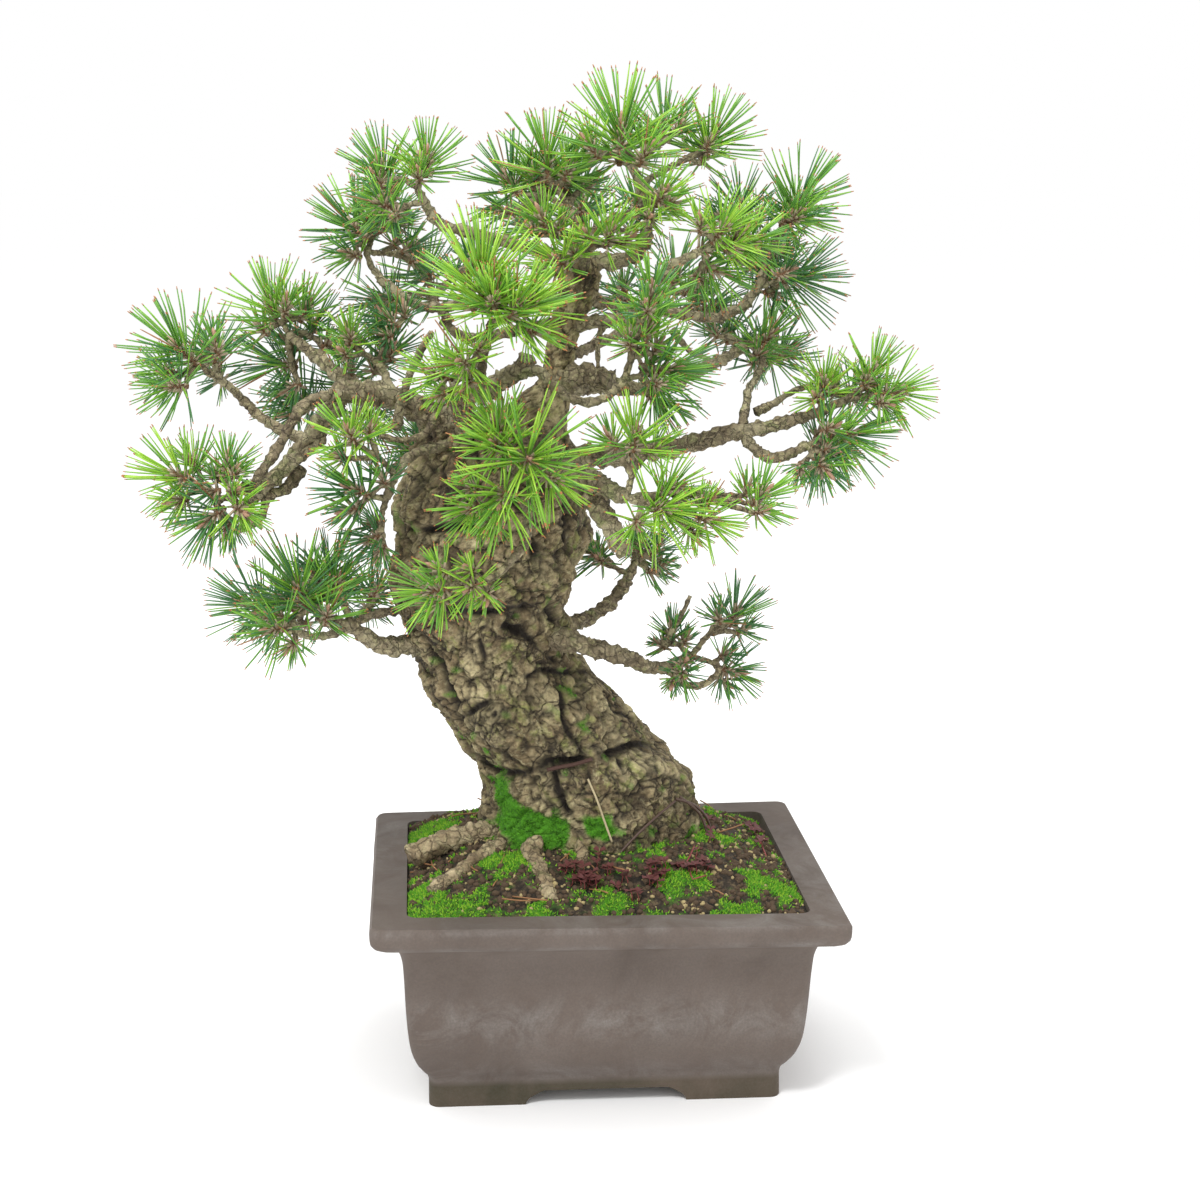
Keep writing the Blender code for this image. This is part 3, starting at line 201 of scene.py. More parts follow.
# Masses: name, stem radius, stem route, and sprays as middle, aim, reach and shade of green; the shade of
# green is mostly painted light, lighter for sprays in front and on top and darker for those behind and
# beneath.
MASSES = (
    ("needles_left_tip", 2.0, ((-222, 4, 438), (-236, 4, 452), (-248, -6, 462)), (
        ((-260, -18, 474), (-0.8, -0.2, 0.8), 45, "mid"), ((-248, 22, 466), (-0.5, 0.6, 0.7), 34, "dark"))),
    ("needles_left_outer", 2.0, ((-220, -49, 399), (-232, -50, 391), (-238, -50, 390)), (
        ((-262, -46, 402), (-0.8, -0.3, 0.5), 38, "bright"),
        ((-242, -54, 380), (-0.7, -0.3, -0.5), 36, "dark"),
        ((-234, -44, 408), (0.1, 0.1, 1.0), 26, "mid"), ((-226, -66, 386), (0.5, -0.7, -0.2), 26, "bright"))),
    ("needles_left_top", 2.8, ((-178, 14, 467), (-192, 24, 477), (-200, 30, 483)), (
        ((-210, 36, 497), (-0.3, 0.2, 1.0), 40, "fresh"), ((-204, 44, 462), (-1.0, 0.3, 0.2), 38, "dark"),
        ((-186, 50, 484), (0.2, 0.8, 0.6), 34, "dark"))),
    ("needles_left_back", 2.4, ((-146, -2, 450), (-150, 20, 448), (-160, 46, 444)), (
        ((-168, 84, 446), (-0.3, 0.9, 0.4), 38, "dark"), ((-196, 70, 434), (-0.9, 0.4, 0.3), 36, "dark"),
        ((-150, 66, 424), (0.2, 0.8, -0.3), 32, "dark"))),
    ("needles_left_inner", 2.4, ((-134, 0, 448), (-138, 6, 458), (-142, 14, 466)), (
        ((-160, 4, 482), (-0.2, -0.3, 1.0), 26, "fresh"), ((-140, 30, 470), (0.1, 0.4, 1.0), 34, "dark"),
        ((-134, 22, 492), (-0.6, 0.2, 0.6), 28, "dark"))),
    ("needles_left_front", 2.6, ((-96, 0, 416), (-120, -26, 414), (-132, -38, 402), (-138, -42, 388)), (
        ((-158, -58, 428), (-0.4, -0.5, 0.8), 32, "bright"),
        ((-154, -52, 394), (-0.8, -0.4, 0.4), 37, "dark"),
        ((-146, -46, 364), (-0.9, -0.2, -0.3), 26, "dark"))),
    ("needles_low_left", 2.6, ((-176, -22, 307), (-184, -24, 315)), (
        ((-192, -28, 324), (-0.3, -0.2, 1.0), 48, "mid"), ((-174, 4, 330), (0.2, 0.5, 0.9), 36, "dark"),
        ((-206, -44, 306), (-0.8, -0.6, 0.1), 32, "mid"))),
    ("needles_low_left_tip", 2.4,
     ((-104, 26, 300), (-134, 24, 302), (-158, 32, 294), (-175, 37, 284), (-192, 40, 282), (-210, 43, 288)), (
        ((-226, 46, 300), (-1.0, 0.1, 0.4), 40, "dark"), ((-196, 72, 298), (-0.2, 1.0, 0.4), 36, "dark"),
        ((-150, 62, 304), (0.2, 0.9, 0.5), 32, "dark"))),
    ("needles_upper_left_outer", 2.0, ((-138, 41, 514), (-147, 44, 526), (-150, 46, 534)), (
        ((-156, 44, 548), (-0.7, 0.0, 0.8), 41, "mid"), ((-140, 72, 556), (0.0, 0.7, 0.8), 32, "dark"),
        ((-124, 60, 536), (0.6, 0.6, 0.4), 28, "dark"))),
    ("needles_upper_left", 2.2, ((-106, -11, 557), (-113, -12, 568), (-117, -10, 576)), (
        ((-112, -16, 590), (0.1, -0.2, 1.0), 33, "fresh"), ((-138, 14, 584), (-0.4, 0.2, 1.0), 37, "mid"),
        ((-138, -34, 566), (-0.7, -0.6, 0.3), 28, "mid"))),
    ("needles_front_upper", 2.6, ((-77, -46, 456), (-80, -66, 468), (-78, -74, 482), (-74, -78, 500)), (
        ((-80, -84, 519), (0.0, -0.2, 1.0), 54, "bright"), ((-90, -84, 476), (-0.4, -0.8, 0.2), 31, "bright"),
        ((-104, -64, 466), (-0.9, -0.2, 0.3), 32, "bright"),
        ((-56, -92, 508), (0.7, -0.5, 0.7), 40, "bright"))),
    ("needles_front_curl", 2.4,
     ((-60, -57, 466), (-46, -70, 470), (-38, -74, 463), (-28, -76, 455), (-16, -76, 452), (-4, -76, 456),
      (6, -75, 466)), (
        ((18, -78, 492), (0.2, -0.1, 1.0), 33, "fresh"), ((20, -82, 514), (0.0, -0.2, 1.0), 33, "mid"),
        ((28, -70, 470), (0.9, -0.2, 0.2), 40, "mid"))),
    ("needles_crown_left", 3.0, ((-14, 2, 526), (-16, 4, 550), (-22, 6, 564)), (
        ((-36, 10, 590), (-0.1, 0.1, 1.0), 43, "fresh"), ((-58, 24, 578), (-0.6, 0.3, 0.8), 38, "mid"),
        ((-22, 36, 580), (0.3, 0.7, 0.8), 36, "dark"))),
    ("needles_crown_top", 2.4, ((26, -10, 562), (20, -12, 580), (14, -12, 592)), (
        ((8, -12, 606), (0.0, 0.0, 1.0), 51, "fresh"), ((30, -38, 572), (0.3, -0.7, 0.7), 31, "bright"),
        ((68, 18, 606), (0.5, 0.1, 1.0), 38, "fresh"), ((38, 20, 612), (0.2, 0.6, 1.0), 38, "mid"))),
    ("needles_crown_front", 2.4, ((-15, 0, 527), (-14, -20, 532), (-14, -28, 538)), (
        ((-2, -42, 548), (0.2, -0.6, 0.8), 32, "bright"), ((-30, -36, 532), (-0.7, -0.5, 0.5), 30, "bright"),
        ((-40, -22, 556), (-0.4, -0.2, 0.9), 28, "fresh"))),
    ("needles_right_top", 2.4, ((98, 56, 501), (108, 56, 514), (112, 52, 530)), (
        ((128, 34, 568), (0.6, -0.2, 0.9), 43, "mid"), ((96, 66, 562), (-0.1, 0.5, 1.0), 36, "dark"),
        ((130, 58, 518), (1.0, 0.2, 0.2), 46, "dark"), ((116, 84, 534), (0.4, 0.9, 0.4), 38, "dark"))),
    ("needles_right_front", 2.2, ((38, -43, 532), (50, -48, 539), (56, -50, 542)), (
        ((64, -56, 552), (0.5, -0.4, 0.8), 35, "bright"), ((62, -38, 530), (0.8, 0.0, -0.3), 33, "mid"),
        ((84, -40, 546), (0.9, 0.1, 0.4), 32, "fresh"))),
    ("needles_right_middle", 2.6, ((80, 42, 465), (94, 46, 472), (100, 50, 476)), (
        ((110, 34, 480), (0.6, -0.4, 0.7), 33, "mid"), ((124, 74, 464), (0.7, 0.7, 0.2), 36, "dark"),
        ((92, 84, 478), (0.0, 0.9, 0.5), 34, "dark"))),
    ("needles_right_tip", 2.6, ((124, -13, 434), (140, -14, 440), (154, -14, 446)), (
        ((140, -14, 454), (-0.2, -0.3, 1.0), 30, "bright"), ((172, -10, 462), (0.4, 0.1, 1.0), 33, "fresh"),
        ((182, -22, 452), (1.0, -0.2, 0.2), 33, "fresh"), ((164, 12, 446), (0.4, 0.9, 0.2), 30, "dark"))),
    ("needles_right_under", 2.8, ((88, -12, 426), (100, -18, 412), (114, -26, 412), (128, -30, 420)), (
        ((152, -28, 426), (1.0, -0.1, 0.2), 40, "mid"), ((134, -42, 408), (0.5, -0.6, -0.5), 28, "dark"),
        ((140, -4, 412), (0.6, 0.7, -0.2), 30, "dark"))),
    ("needles_front_right", 4.6, ((-14, -68, 402), (-2, -86, 400), (6, -94, 397)), (
        ((10, -94, 430), (0.1, -0.3, 1.0), 37, "bright"), ((24, -108, 392), (0.6, -0.8, 0.1), 40, "bright"),
        ((52, -110, 386), (0.7, -0.5, -0.1), 28, "bright"),
        ((84, -104, 398), (0.7, -0.1, 0.7), 29, "fresh"))),
    ("needles_front_centre", 3.0, ((-62, -8, 404), (-58, -50, 408), (-56, -72, 412)), (
        ((-54, -96, 420), (0.1, -1.0, 0.2), 54, "bright"), ((-84, -84, 390), (-0.7, -0.6, -0.1), 32, "fresh"),
        ((-70, -80, 436), (-0.4, -0.5, 0.8), 34, "bright"))),
    ("needles_front_low", 2.4,
     ((-52, -14, 386), (-51, -60, 380), (-54, -78, 367), (-63, -86, 357), (-73, -92, 348)), (
        ((-86, -94, 343), (-0.5, -0.8, -0.1), 26, "bright"),
        ((-108, -96, 341), (-1.0, -0.3, -0.1), 34, "fresh"))),
    ("needles_low_right", 3.4, ((16, -23, 280), (30, -24, 274), (42, -22, 274), (58, -20, 280)), (
        ((88, -2, 302), (0.5, 0.3, 0.8), 32, "dark"), ((82, -26, 272), (1.0, -0.3, -0.1), 27, "dark"),
        ((50, -36, 272), (0.1, -1.0, 0.0), 20, "dark"), ((46, -8, 292), (-0.2, 0.2, 1.0), 22, "dark"))),
    ("needles_low_back", 2.8, ((22, 81, 303), (28, 87, 312), (32, 92, 320)), (
        ((46, 94, 328), (0.5, 0.0, 0.8), 28, "dark"), ((4, 94, 326), (-0.6, -0.1, 0.6), 26, "dark"),
        ((40, 120, 318), (0.3, 0.9, 0.2), 34, "dark"))),
    ("needles_back_low", 2.6, ((-66, 118, 310), (-62, 134, 320)), (
        ((-62, 148, 328), (0.1, 0.9, 0.5), 40, "mid"), ((-98, 134, 318), (-0.8, 0.6, 0.3), 36, "dark"),
        ((-30, 132, 324), (0.8, 0.6, 0.3), 34, "dark"))),
    ("needles_back_middle", 2.6, ((-89, 112, 386), (-90, 128, 396)), (
        ((-92, 148, 404), (-0.1, 0.9, 0.6), 40, "mid"), ((-122, 122, 396), (-0.9, 0.4, 0.3), 34, "dark"),
        ((-56, 140, 402), (0.8, 0.5, 0.4), 36, "mid"))),
    ("needles_back_left", 2.0, ((-96, 70, 489), (-106, 82, 500), (-106, 90, 506)), (
        ((-112, 108, 516), (-0.5, 0.8, 0.6), 38, "mid"), ((-80, 118, 522), (0.3, 0.8, 0.7), 36, "dark"),
        ((-140, 92, 500), (-1.0, 0.3, 0.1), 32, "dark"))),
    ("needles_back_top", 2.6, ((-20, 4, 500), (-18, 36, 512), (-14, 62, 526), (-10, 80, 540)), (
        ((-6, 108, 556), (0.1, 0.8, 0.8), 42, "mid"), ((-42, 96, 560), (-0.6, 0.5, 0.8), 36, "mid"),
        ((32, 98, 562), (0.6, 0.5, 0.8), 36, "dark"))),
    ("needles_back_right", 2.8, ((-26, 8, 470), (-10, 44, 472), (16, 74, 480), (40, 94, 494)), (
        ((60, 118, 514), (0.4, 0.8, 0.6), 38, "mid"), ((24, 130, 500), (-0.3, 1.0, 0.3), 34, "dark"),
        ((84, 108, 496), (1.0, 0.4, 0.1), 32, "dark"))),
)
STEM_STEP = 15.0
TWIG_TIP_RADIUS = 1.5
TWIG_BEND = 0.10
SIDE_SHOOT_REACH = 40.0

# Finer limbs than the solids have, in photograph pixels with a depth: radius at base and tip, route.
FINE_LIMBS = (
    (3.4, 2.0,
     ((300, 468, -12), (287, 488, -20), (268, 497, -26), (262, 515, -30), (248, 527, -33), (234, 530, -34))),
    (2.6, 1.8, ((322, 440, -14), (308, 452, -26), (286, 470, -36), (262, 484, -40), (240, 492, -42))),
    (2.2, 1.5, ((351, 627, -12), (346, 608, -14), (340, 590, -16))),
    (2.4, 1.9, ((396, 428, -24), (401, 402, -30), (408, 380, -34), (421, 350, -40), (432, 332, -44))),
    (1.7, 1.3, ((604, 322, -4), (598, 342, -8), (598, 368, -10))),
    (1.8, 1.3, ((672, 330, -36), (691, 352, -34), (713, 360, -32))),
    (2.6, 1.8, ((742, 430, -10), (746, 405, 2), (750, 387, 8), (759, 373, 14), (764, 357, 18))),
    (2.2, 1.5, ((757, 412, -10), (776, 402, 2), (792, 392, 10), (812, 384, 16))),
    (2.4, 1.8,
     ((668, 668, -26), (680, 682, -28), (694, 686, -30), (708, 682, -32), (718, 672, -34), (716, 662, -34))),
    (1.8, 1.3, ((664, 646, -18), (672, 630, -12), (684, 610, -6), (690, 596, -2))),
    (2.0, 1.5, ((436, 416, -8), (424, 434, -20), (404, 440, -26), (380, 436, -32))),
)

# Trunk details in photograph pixels: bumps as place, width and height in millimetres, then creases
# as width, depth and route. The creases are painted near black as shade as well as sunk.
TRUNK_BUMPS = (
    (417, 510, 13, 8), (510, 725, 24, 6), (602, 706, 22, 7), (577, 712, 6, 5), (592, 790, 16, 5),
    (652, 768, 13, 8), (396, 570, 13, 5), (500, 588, 15, 6), (566, 575, 8, 6), (470, 660, 15, 5),
    (540, 640, 12, 4), (640, 740, 10, 5), (430, 690, 9, 5), (530, 800, 9, 4), (620, 735, 10, 4),
)
TRUNK_CREASES = (
    (2.6, 7, ((430, 647), (442, 673), (452, 700), (460, 722))),
    (1.6, 3, ((417, 647), (430, 687), (443, 713))),
    (2.6, 5, ((460, 718), (490, 700), (523, 680), (543, 670), (567, 673), (593, 673), (613, 683))),
    (2.4, 5, ((558, 670), (562, 693), (563, 720), (573, 740), (587, 757))),
    (3.4, 8,
     ((460, 743), (490, 770), (523, 773), (547, 763), (587, 760), (610, 757), (627, 747), (650, 743))),
    (2.6, 6, ((553, 770), (557, 790), (567, 813))),
    (2.6, 5, ((620, 763), (627, 790), (623, 817))),
    (4.4, 11, ((508, 625), (520, 632))),
    (2.6, 6, ((520, 627), (537, 647), (557, 660))),
    (3.4, 6, ((447, 610), (480, 613), (513, 607), (537, 603))),
    (3.6, 9, ((537, 547), (540, 577), (547, 603), (557, 620))),
    (3.2, 8, ((400, 527), (423, 530), (453, 527), (480, 530))),
    (2.6, 4, ((390, 590), (403, 610), (413, 627))),
    (2.0, 4, ((480, 640), (486, 662), (476, 690))),
    (2.0, 4, ((500, 700), (492, 725), (506, 750))),
    (2.0, 4, ((600, 690), (612, 710), (634, 718))),
    (3.0, 7, ((470, 440), (476, 470), (468, 500))),
    (3.0, 6, ((560, 480), (572, 510), (566, 540))),
)
TRUNK_BOTTOM = 146
TRUNK_SIDES = 280
TRUNK_RINGS = 300
LEADER_SIDES = 72

# Ground cover in photograph pixels: moss patches and moss on the trunk's foot as place and radius.
MOSS_PATCHES = (
    (505, 842, 26), (540, 838, 22), (560, 846, 20), (418, 884, 26), (440, 902, 24), (470, 898, 18),
    (410, 902, 18), (773, 879, 24), (640, 858, 24), (600, 846, 18), (680, 882, 20), (710, 846, 20),
    (500, 874, 22), (742, 900, 18), (430, 828, 22), (540, 905, 18), (608, 895, 16), (660, 908, 18),
)
FOOT_MOSS = (
    (500, 786, 9), (506, 800, 10), (512, 816, 12), (530, 828, 12), (552, 832, 10), (600, 826, 8),
    (700, 824, 10),
)
YELLOW_STONE = (558, 831)
YELLOW_STONE_SIZE = (6.5, 5.5, 5.0)
LEAF_CLUSTERS = (
    (586, 872), (592, 884), (578, 888), (598, 896), (572, 878), (604, 880), (660, 868), (672, 874),
    (684, 866), (698, 872), (690, 882), (648, 884), (640, 896), (786, 834), (796, 842), (626, 890),
    (610, 866), (706, 834),
)
LEAF_STEMS = (
    ((652, 890), (672, 886), (690, 884), (706, 880)), ((684, 866), (690, 858), (694, 850)),
    ((770, 858), (784, 850), (800, 848), (812, 850)), ((776, 824), (792, 832), (806, 846)),
)
# Wires and straws: radius, colour name, route as pixel and height above the ground.
WIRES = (
    (1.0, "wire", ((676, 799, 178), (692, 804, 170), (704, 814, 162), (711, 830, 152), (714, 849, 144))),
    (1.0, "wire", ((680, 797, 178), (694, 808, 170), (702, 818, 162), (708, 834, 152), (717, 850, 144))),
    (0.9, "wire", ((675, 801, 178), (655, 818, 168), (634, 838, 158), (612, 862, 146))),
    (1.4, "stick", ((547, 770, 196), (560, 767, 198), (576, 764, 199), (592, 759, 200))),
    (0.7, "straw", ((588, 779, 190), (597, 800, 176), (604, 820, 164), (612, 842, 152))),
)

# How near a trunk point lies to a wire's line of sight to hide it, and the gap that the wire keeps.
WIRE_SIGHT = 3.0
WIRE_GAP = 0.5

# Skins of limbs: sides, coarse and fine swelling as shares of the radius, size of the lumps.
ROOT_SKIN = (30, 0.34, 0.22, 5.5)
BOUGH_SKIN = (20, 0.52, 0.30, 4.6)
FINE_LIMB_SKIN = (12, 0.50, 0.30, 3.8)
STEM_SKIN = (10, 0.50, 0.30, 3.4)
TWIG_SKIN = (8, 0.50, 0.32, 2.4)
SHOOT_SKIN = (8, 0.25, 0.25, 1.4)
WIRE_SKIN = (8, 0.08, 0.05, 3.0)
RUNNER_SKIN = (6, 0, 0, 5.0)
STALK_SKIN = (5, 0, 0, 5.0)

# Needle pairs of a spray: the fewest, more for each millimetre of reach, lean of the first one from the
# aim and how much further the last one leans, in degrees, and half the shoot's length as a share.
PAIRS_LEAST = 8
PAIRS_PER_REACH = 0.52
FIRST_LEAN = 6
LEAN_RANGE = 88
HALF_SHOOT = 0.20
# Where along a needle it is tested, and the room that it leaves to the trunk and to a thick limb.
TEST_SHARES = (0.25, 0.45, 0.65, 0.85, 1.0)
TRUNK_ROOM = 3
LIMB_ROOM = 0.6
TRUNK_SHOULDER = 440

# Needles of each shade: how its needles are shared among the colours, which are lit and shaded copies of one
# green, painted light and shade over some real spread of tone.
LIT_AND_SHADED_GREENS = {
    "bright": (("needle_lit_lime", 0.42), ("needle_lit_bright", 0.44), ("needle_mid", 0.14)),
    "fresh": (("needle_lit_lime", 0.14), ("needle_lit_bright", 0.48), ("needle_mid", 0.38)),
    "mid": (("needle_lit_bright", 0.26), ("needle_mid", 0.52), ("needle_shaded_dark", 0.22)),
    "dark": (("needle_lit_bright", 0.06), ("needle_mid", 0.34), ("needle_shaded_dark", 0.60)),
}
# A needle's radius, and its levels as shares of its length and of that radius, without and at its cut tip.
NEEDLE_RADIUS = 0.68
NEEDLE_LEVELS = ((0.0, 0.75), (0.30, 1.0), (0.68, 0.97), (0.955, 0.66))
TIP_LEVELS = ((0.95, 0.70), (1.0, 0.46))
# A direction that no needle points in exactly, to find one across it.
NEEDLE_ACROSS = (0.31, 0.42, 0.85)
GOLDEN_ANGLE = math.pi * (3 - math.sqrt(5))
# Finer shoots beside each spray: how many, and their reach as a share of its reach.
FINE_SHOOTS = 2
FINE_SHARE = 0.58
DRY_SHARE = 0.012
# Most triangles in one piece.
LARGEST_PIECE = 190000

# Studio: lights as name, place in metres, watts and width, and where they point, over the pot's middle.
LIGHTS = (
    ("key", (-0.8, -1.2, 2.1), 27, 0.5),
    ("fill", (1.5, -1.2, 1.1), 2, 1.4),
    ("top", (0.1, 0.2, 2.0), 14, 0.7),
)
LIGHT_AIM = (0, 0, 0.32)
FLOOR_HALF = 30.0
SENSOR_WIDTH = 36.0


# The photograph's camera


def camera_axes():
    yaw = math.radians(CAMERA_YAW)
    pitch = math.radians(CAMERA_PITCH)
    roll = math.radians(CAMERA_ROLL)
    forward = Vector((math.sin(yaw) * math.cos(pitch), math.cos(yaw) * math.cos(pitch), -math.sin(pitch)))
    level = Vector((math.cos(yaw), -math.sin(yaw), 0.0))
    above = level.cross(forward)
    right = level * math.cos(roll) + above * math.sin(roll)
    up = above * math.cos(roll) - level * math.sin(roll)
    return right, up, forward


RIGHT, UP, FORWARD = camera_axes()
EYE = Vector(CAMERA_PLACE)


def sight_line(px, py):
    across = (px - PHOTO_SIZE / 2) / FOCAL_PIXELS
    down = (py - PHOTO_SIZE / 2) / FOCAL_PIXELS
    return FORWARD + RIGHT * across - UP * down


def at_depth(px, py, y):
    """The place in millimetres that the pixel shows at this depth."""
    line = sight_line(px, py)
    return EYE + line * ((y - EYE.y) / line.y)


def at_height(px, py, z):
    """The place in millimetres that the pixel shows at this height."""
    line = sight_line(px, py)
    return EYE + line * ((z - EYE.z) / line.z)


# Meshes


def link(obj, slot, nodes):
    """Puts the object on the body in place of the nodes that it replaces; the slot is not used."""
    bpy.context.scene.collection.objects.link(obj)
    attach(obj, "root")
    if nodes:
        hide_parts(*nodes)


def give_values(mesh, name, numbers):
    """A number for each point of the mesh, which its material reads by this name."""
    layer = mesh.attributes.new(name, "FLOAT", "POINT")
    layer.data.foreach_set("value", np.asarray(numbers, np.float32))


def piece(name, points, faces, material, slot=None, nodes=(), smooth=True, values=None):
    """One piece of the plant: points in millimetres, faces of equally many corners, values by name."""
    mesh = bpy.data.meshes.new(name)
    places = np.asarray(points, float) * MM + ORIGIN
    faces = np.asarray(faces, np.int32)
    mesh.vertices.add(len(places))
    mesh.vertices.foreach_set("co", places.astype(np.float32).ravel())
    mesh.loops.add(faces.size)
    mesh.loops.foreach_set("vertex_index", faces.ravel())
    mesh.polygons.add(len(faces))
    mesh.polygons.foreach_set("loop_start", np.arange(0, faces.size, faces.shape[1], dtype=np.int32))
    mesh.update(calc_edges=True)
    for key, numbers in (values or {}).items():
        give_values(mesh, key, numbers)
    mesh.materials.append(material)
    if smooth:
        mesh.shade_smooth()
    obj = bpy.data.objects.new(name, mesh)
    link(obj, slot, nodes)
    return obj


class Batch:
    """Points and triangles gathered from many small shapes, written out as pieces of a limited size."""

    def __init__(self):
        self.points = []
        self.faces = []
        self.nodes = []
        self.count = 0

    def add(self, points, faces, node=None):
        self.faces.append(np.asarray(faces) + self.count)
        self.points.append(np.asarray(points))
        self.nodes.append(node)
        self.count += len(points)

    def write(self, name, material, slot=None, smooth=True):
        start = 0
        number = 1
        while start < len(self.faces):
            end = start
            total = 0
            while end < len(self.faces) and total + len(self.faces[end]) <= LARGEST_PIECE:
                total += len(self.faces[end])
                end += 1
            offset = sum(len(p) for p in self.points[:start])
            points = np.concatenate(self.points[start:end])
            faces = np.concatenate(self.faces[start:end]) - offset
            nodes = sorted({n for n in self.nodes[start:end] if n})
            piece(f"{name}_{number}", points, faces, material, slot, nodes, smooth)
            start = end
            number += 1


def ring_faces(rings, sides):
    """Triangles over rings of equally many points that follow one another, with a fan at each end."""
    ring, side = np.meshgrid(np.arange(rings - 1), np.arange(sides), indexing="ij")
    ring, side = ring.ravel(), side.ravel()
    after = (side + 1) % sides
    lower, upper = ring * sides, (ring + 1) * sides
    quads = np.stack([lower + side, lower + after, upper + after, upper + side], 1)
    fan = np.arange(1, sides - 1)
    first = np.stack([np.zeros_like(fan), fan + 1, fan], 1)
    last = np.stack([np.zeros_like(fan), fan, fan + 1], 1) + (rings - 1) * sides
    return np.concatenate([quads[:, [0, 1, 2]], quads[:, [0, 2, 3]], first, last])


def repeated(faces, count, size):
    """The faces once for each of so many shapes, each of them with as many points as the size."""
    return (faces[None] + np.arange(count)[:, None, None] * size).reshape(-1, 3)


def smooth_route(places, step):
    """Points about one step apart on a smooth curve through the places."""
    places = [Vector(place) for place in places]
    ends = [places[0] * 2 - places[1]] + places + [places[-1] * 2 - places[-2]]
    route = [places[0]]
    for before, start, end, after in zip(ends, ends[1:], ends[2:], ends[3:]):
        pieces = max(1, round((end - start).length / step))
        for part in range(1, pieces + 1):
            t = part / pieces
            route.append(
                start
                + (end - before) * (0.5 * t)
                + (before * 2 - start * 5 + end * 4 - after) * (0.5 * t * t)
                + (start * 3 - before - end * 3 + after) * (0.5 * t * t * t)
            )
    return route


def frames_along(route):
    """Two directions across the route at each of its points, carried along without twist."""
    across = None
    frames = []
    for index in range(len(route)):
        ahead = route[min(index + 1, len(route) - 1)] - route[max(index - 1, 0)]
        ahead.normalize()
        if across is None:
            across = ahead.orthogonal().normalized()
        across = (across - ahead * across.dot(ahead)).normalized()
        frames.append((across, ahead.cross(across)))
    return frames


def spoke(across, other, angle):
    """The direction at this angle among two directions that stand across a line."""
    return across * math.cos(angle) + other * math.sin(angle)


def unit(vectors):
    """Each row of vectors made one long."""
    return vectors / np.linalg.norm(vectors, axis=1)[:, None]


def noise_at(points, size):
    """Noise at each point, its lumps about as large as the size."""
    return np.array([noise.noise(Vector(p) / size) for p in points])


def rough_tube(batch, route, radii, skin, node=None):
    """A limb whose radius swells and pits with noise as its skin says."""
    sides, coarse, fine, scale = skin
    points = []
    for place, radius, (across, other) in zip(route, radii, frames_along(route)):
        for side in range(sides):
            out = spoke(across, other, math.tau * side / sides)
            at = (place + out * radius) / scale
            swell = coarse * noise.noise(at) + fine * noise.noise(at * 2.7)
            points.append(place + out * radius * (1 + swell))
    batch.add(np.array(points), ring_faces(len(route), sides), node)


def tapered(count, base, tip, seed, collar=0.0, reach=3.0):
    """Radii from base to tip, a little uneven, with a collar that fades out over some steps."""
    return [
        (base + (tip - base) * step / max(count - 1, 1)) * (1 + 0.12 * noise.noise((step * 0.35, seed, 0)))
        * (1 + collar * math.exp(-step / reach))
        for step in range(count)
    ]


# Materials

# Colour ramps: stops as position and colour.
BARK_SPECKLE = ((0.30, (0.45, 0.42, 0.38)), (0.52, (1.0, 1.0, 1.0)), (0.75, (1.5, 1.45, 1.35)))
BARK_CRUST = ((0.3, (0.36, 0.30, 0.15)), (0.7, (0.70, 0.62, 0.37)))
BARK_CRACK = ((0.2, (0.018, 0.012, 0.007)), (0.8, (0.050, 0.034, 0.020)))
# Near-black painted shade for the trunk's cracks, creases and hollows.
BARK_CREVICE_SHADE = ((0.2, (0.010, 0.008, 0.005)), (0.8, (0.030, 0.021, 0.013)))
BARK_MOSS = ((0.3, (0.030, 0.130, 0.004)), (0.7, (0.100, 0.360, 0.010)))
CLAY_CLOUD = ((0.30, (0.096, 0.073, 0.060)), (0.50, (0.118, 0.091, 0.075)), (0.72, (0.140, 0.111, 0.094)))
CLAY_SPECKLE = ((0.34, (0.80, 0.79, 0.78)), (0.56, (1, 1, 1)), (0.74, (1.16, 1.15, 1.13)))
CLAY_BLOOM = ((0.3, (0.20, 0.185, 0.17)), (0.7, (0.31, 0.295, 0.28)))
CLAY_DAMP = ((0.35, (0.045, 0.038, 0.020)), (0.65, (0.105, 0.078, 0.056)))
EARTH_BROWNS = ((0.36, (0.008, 0.006, 0.004)), (0.52, (0.036, 0.025, 0.015)), (0.66, (0.170, 0.120, 0.062)))
EARTH_MOSS = ((0.35, (0.020, 0.070, 0.004)), (0.65, (0.085, 0.230, 0.012)))


def new_material(name, colour, roughness):
    material = bpy.data.materials.new(name)
    material.use_nodes = True
    shader = material.node_tree.nodes["Principled BSDF"]
    shader.inputs["Base Color"].default_value = (*colour, 1.0)
    shader.inputs["Roughness"].default_value = roughness
    material.diffuse_color = (*colour, 1.0)
    return material, material.node_tree, shader


def texture_place(tree):
    return tree.nodes.new("ShaderNodeTexCoord").outputs["Object"]


def noise_node(tree, place, scale, detail=6.0, roughness=0.6, distortion=0.0):
    node = tree.nodes.new("ShaderNodeTexNoise")
    node.inputs["Scale"].default_value = scale
    node.inputs["Detail"].default_value = detail
    node.inputs["Roughness"].default_value = roughness
    node.inputs["Distortion"].default_value = distortion
    tree.links.new(place, node.inputs["Vector"])
    return node.outputs["Fac"]


def ramp_node(tree, value, stops):
    node = tree.nodes.new("ShaderNodeValToRGB")
    ramp = node.color_ramp
    while len(ramp.elements) < len(stops):
        ramp.elements.new(0.5)
    for element, (position, colour) in zip(ramp.elements, stops):
        element.position = position
        element.color = (*colour, 1.0)
    tree.links.new(value, node.inputs["Fac"])
    return node.outputs["Color"]


def mesh_value(tree, name):
    """The number that the mesh gives each point under this name."""
    node = tree.nodes.new("ShaderNodeAttribute")
    node.attribute_name = name
    return node.outputs["Fac"]


def math_node(tree, operation, first, second):
    node = tree.nodes.new("ShaderNodeMath")
    node.operation = operation
    tree.links.new(first, node.inputs[0])
    tree.links.new(second, node.inputs[1])
    return node.outputs[0]


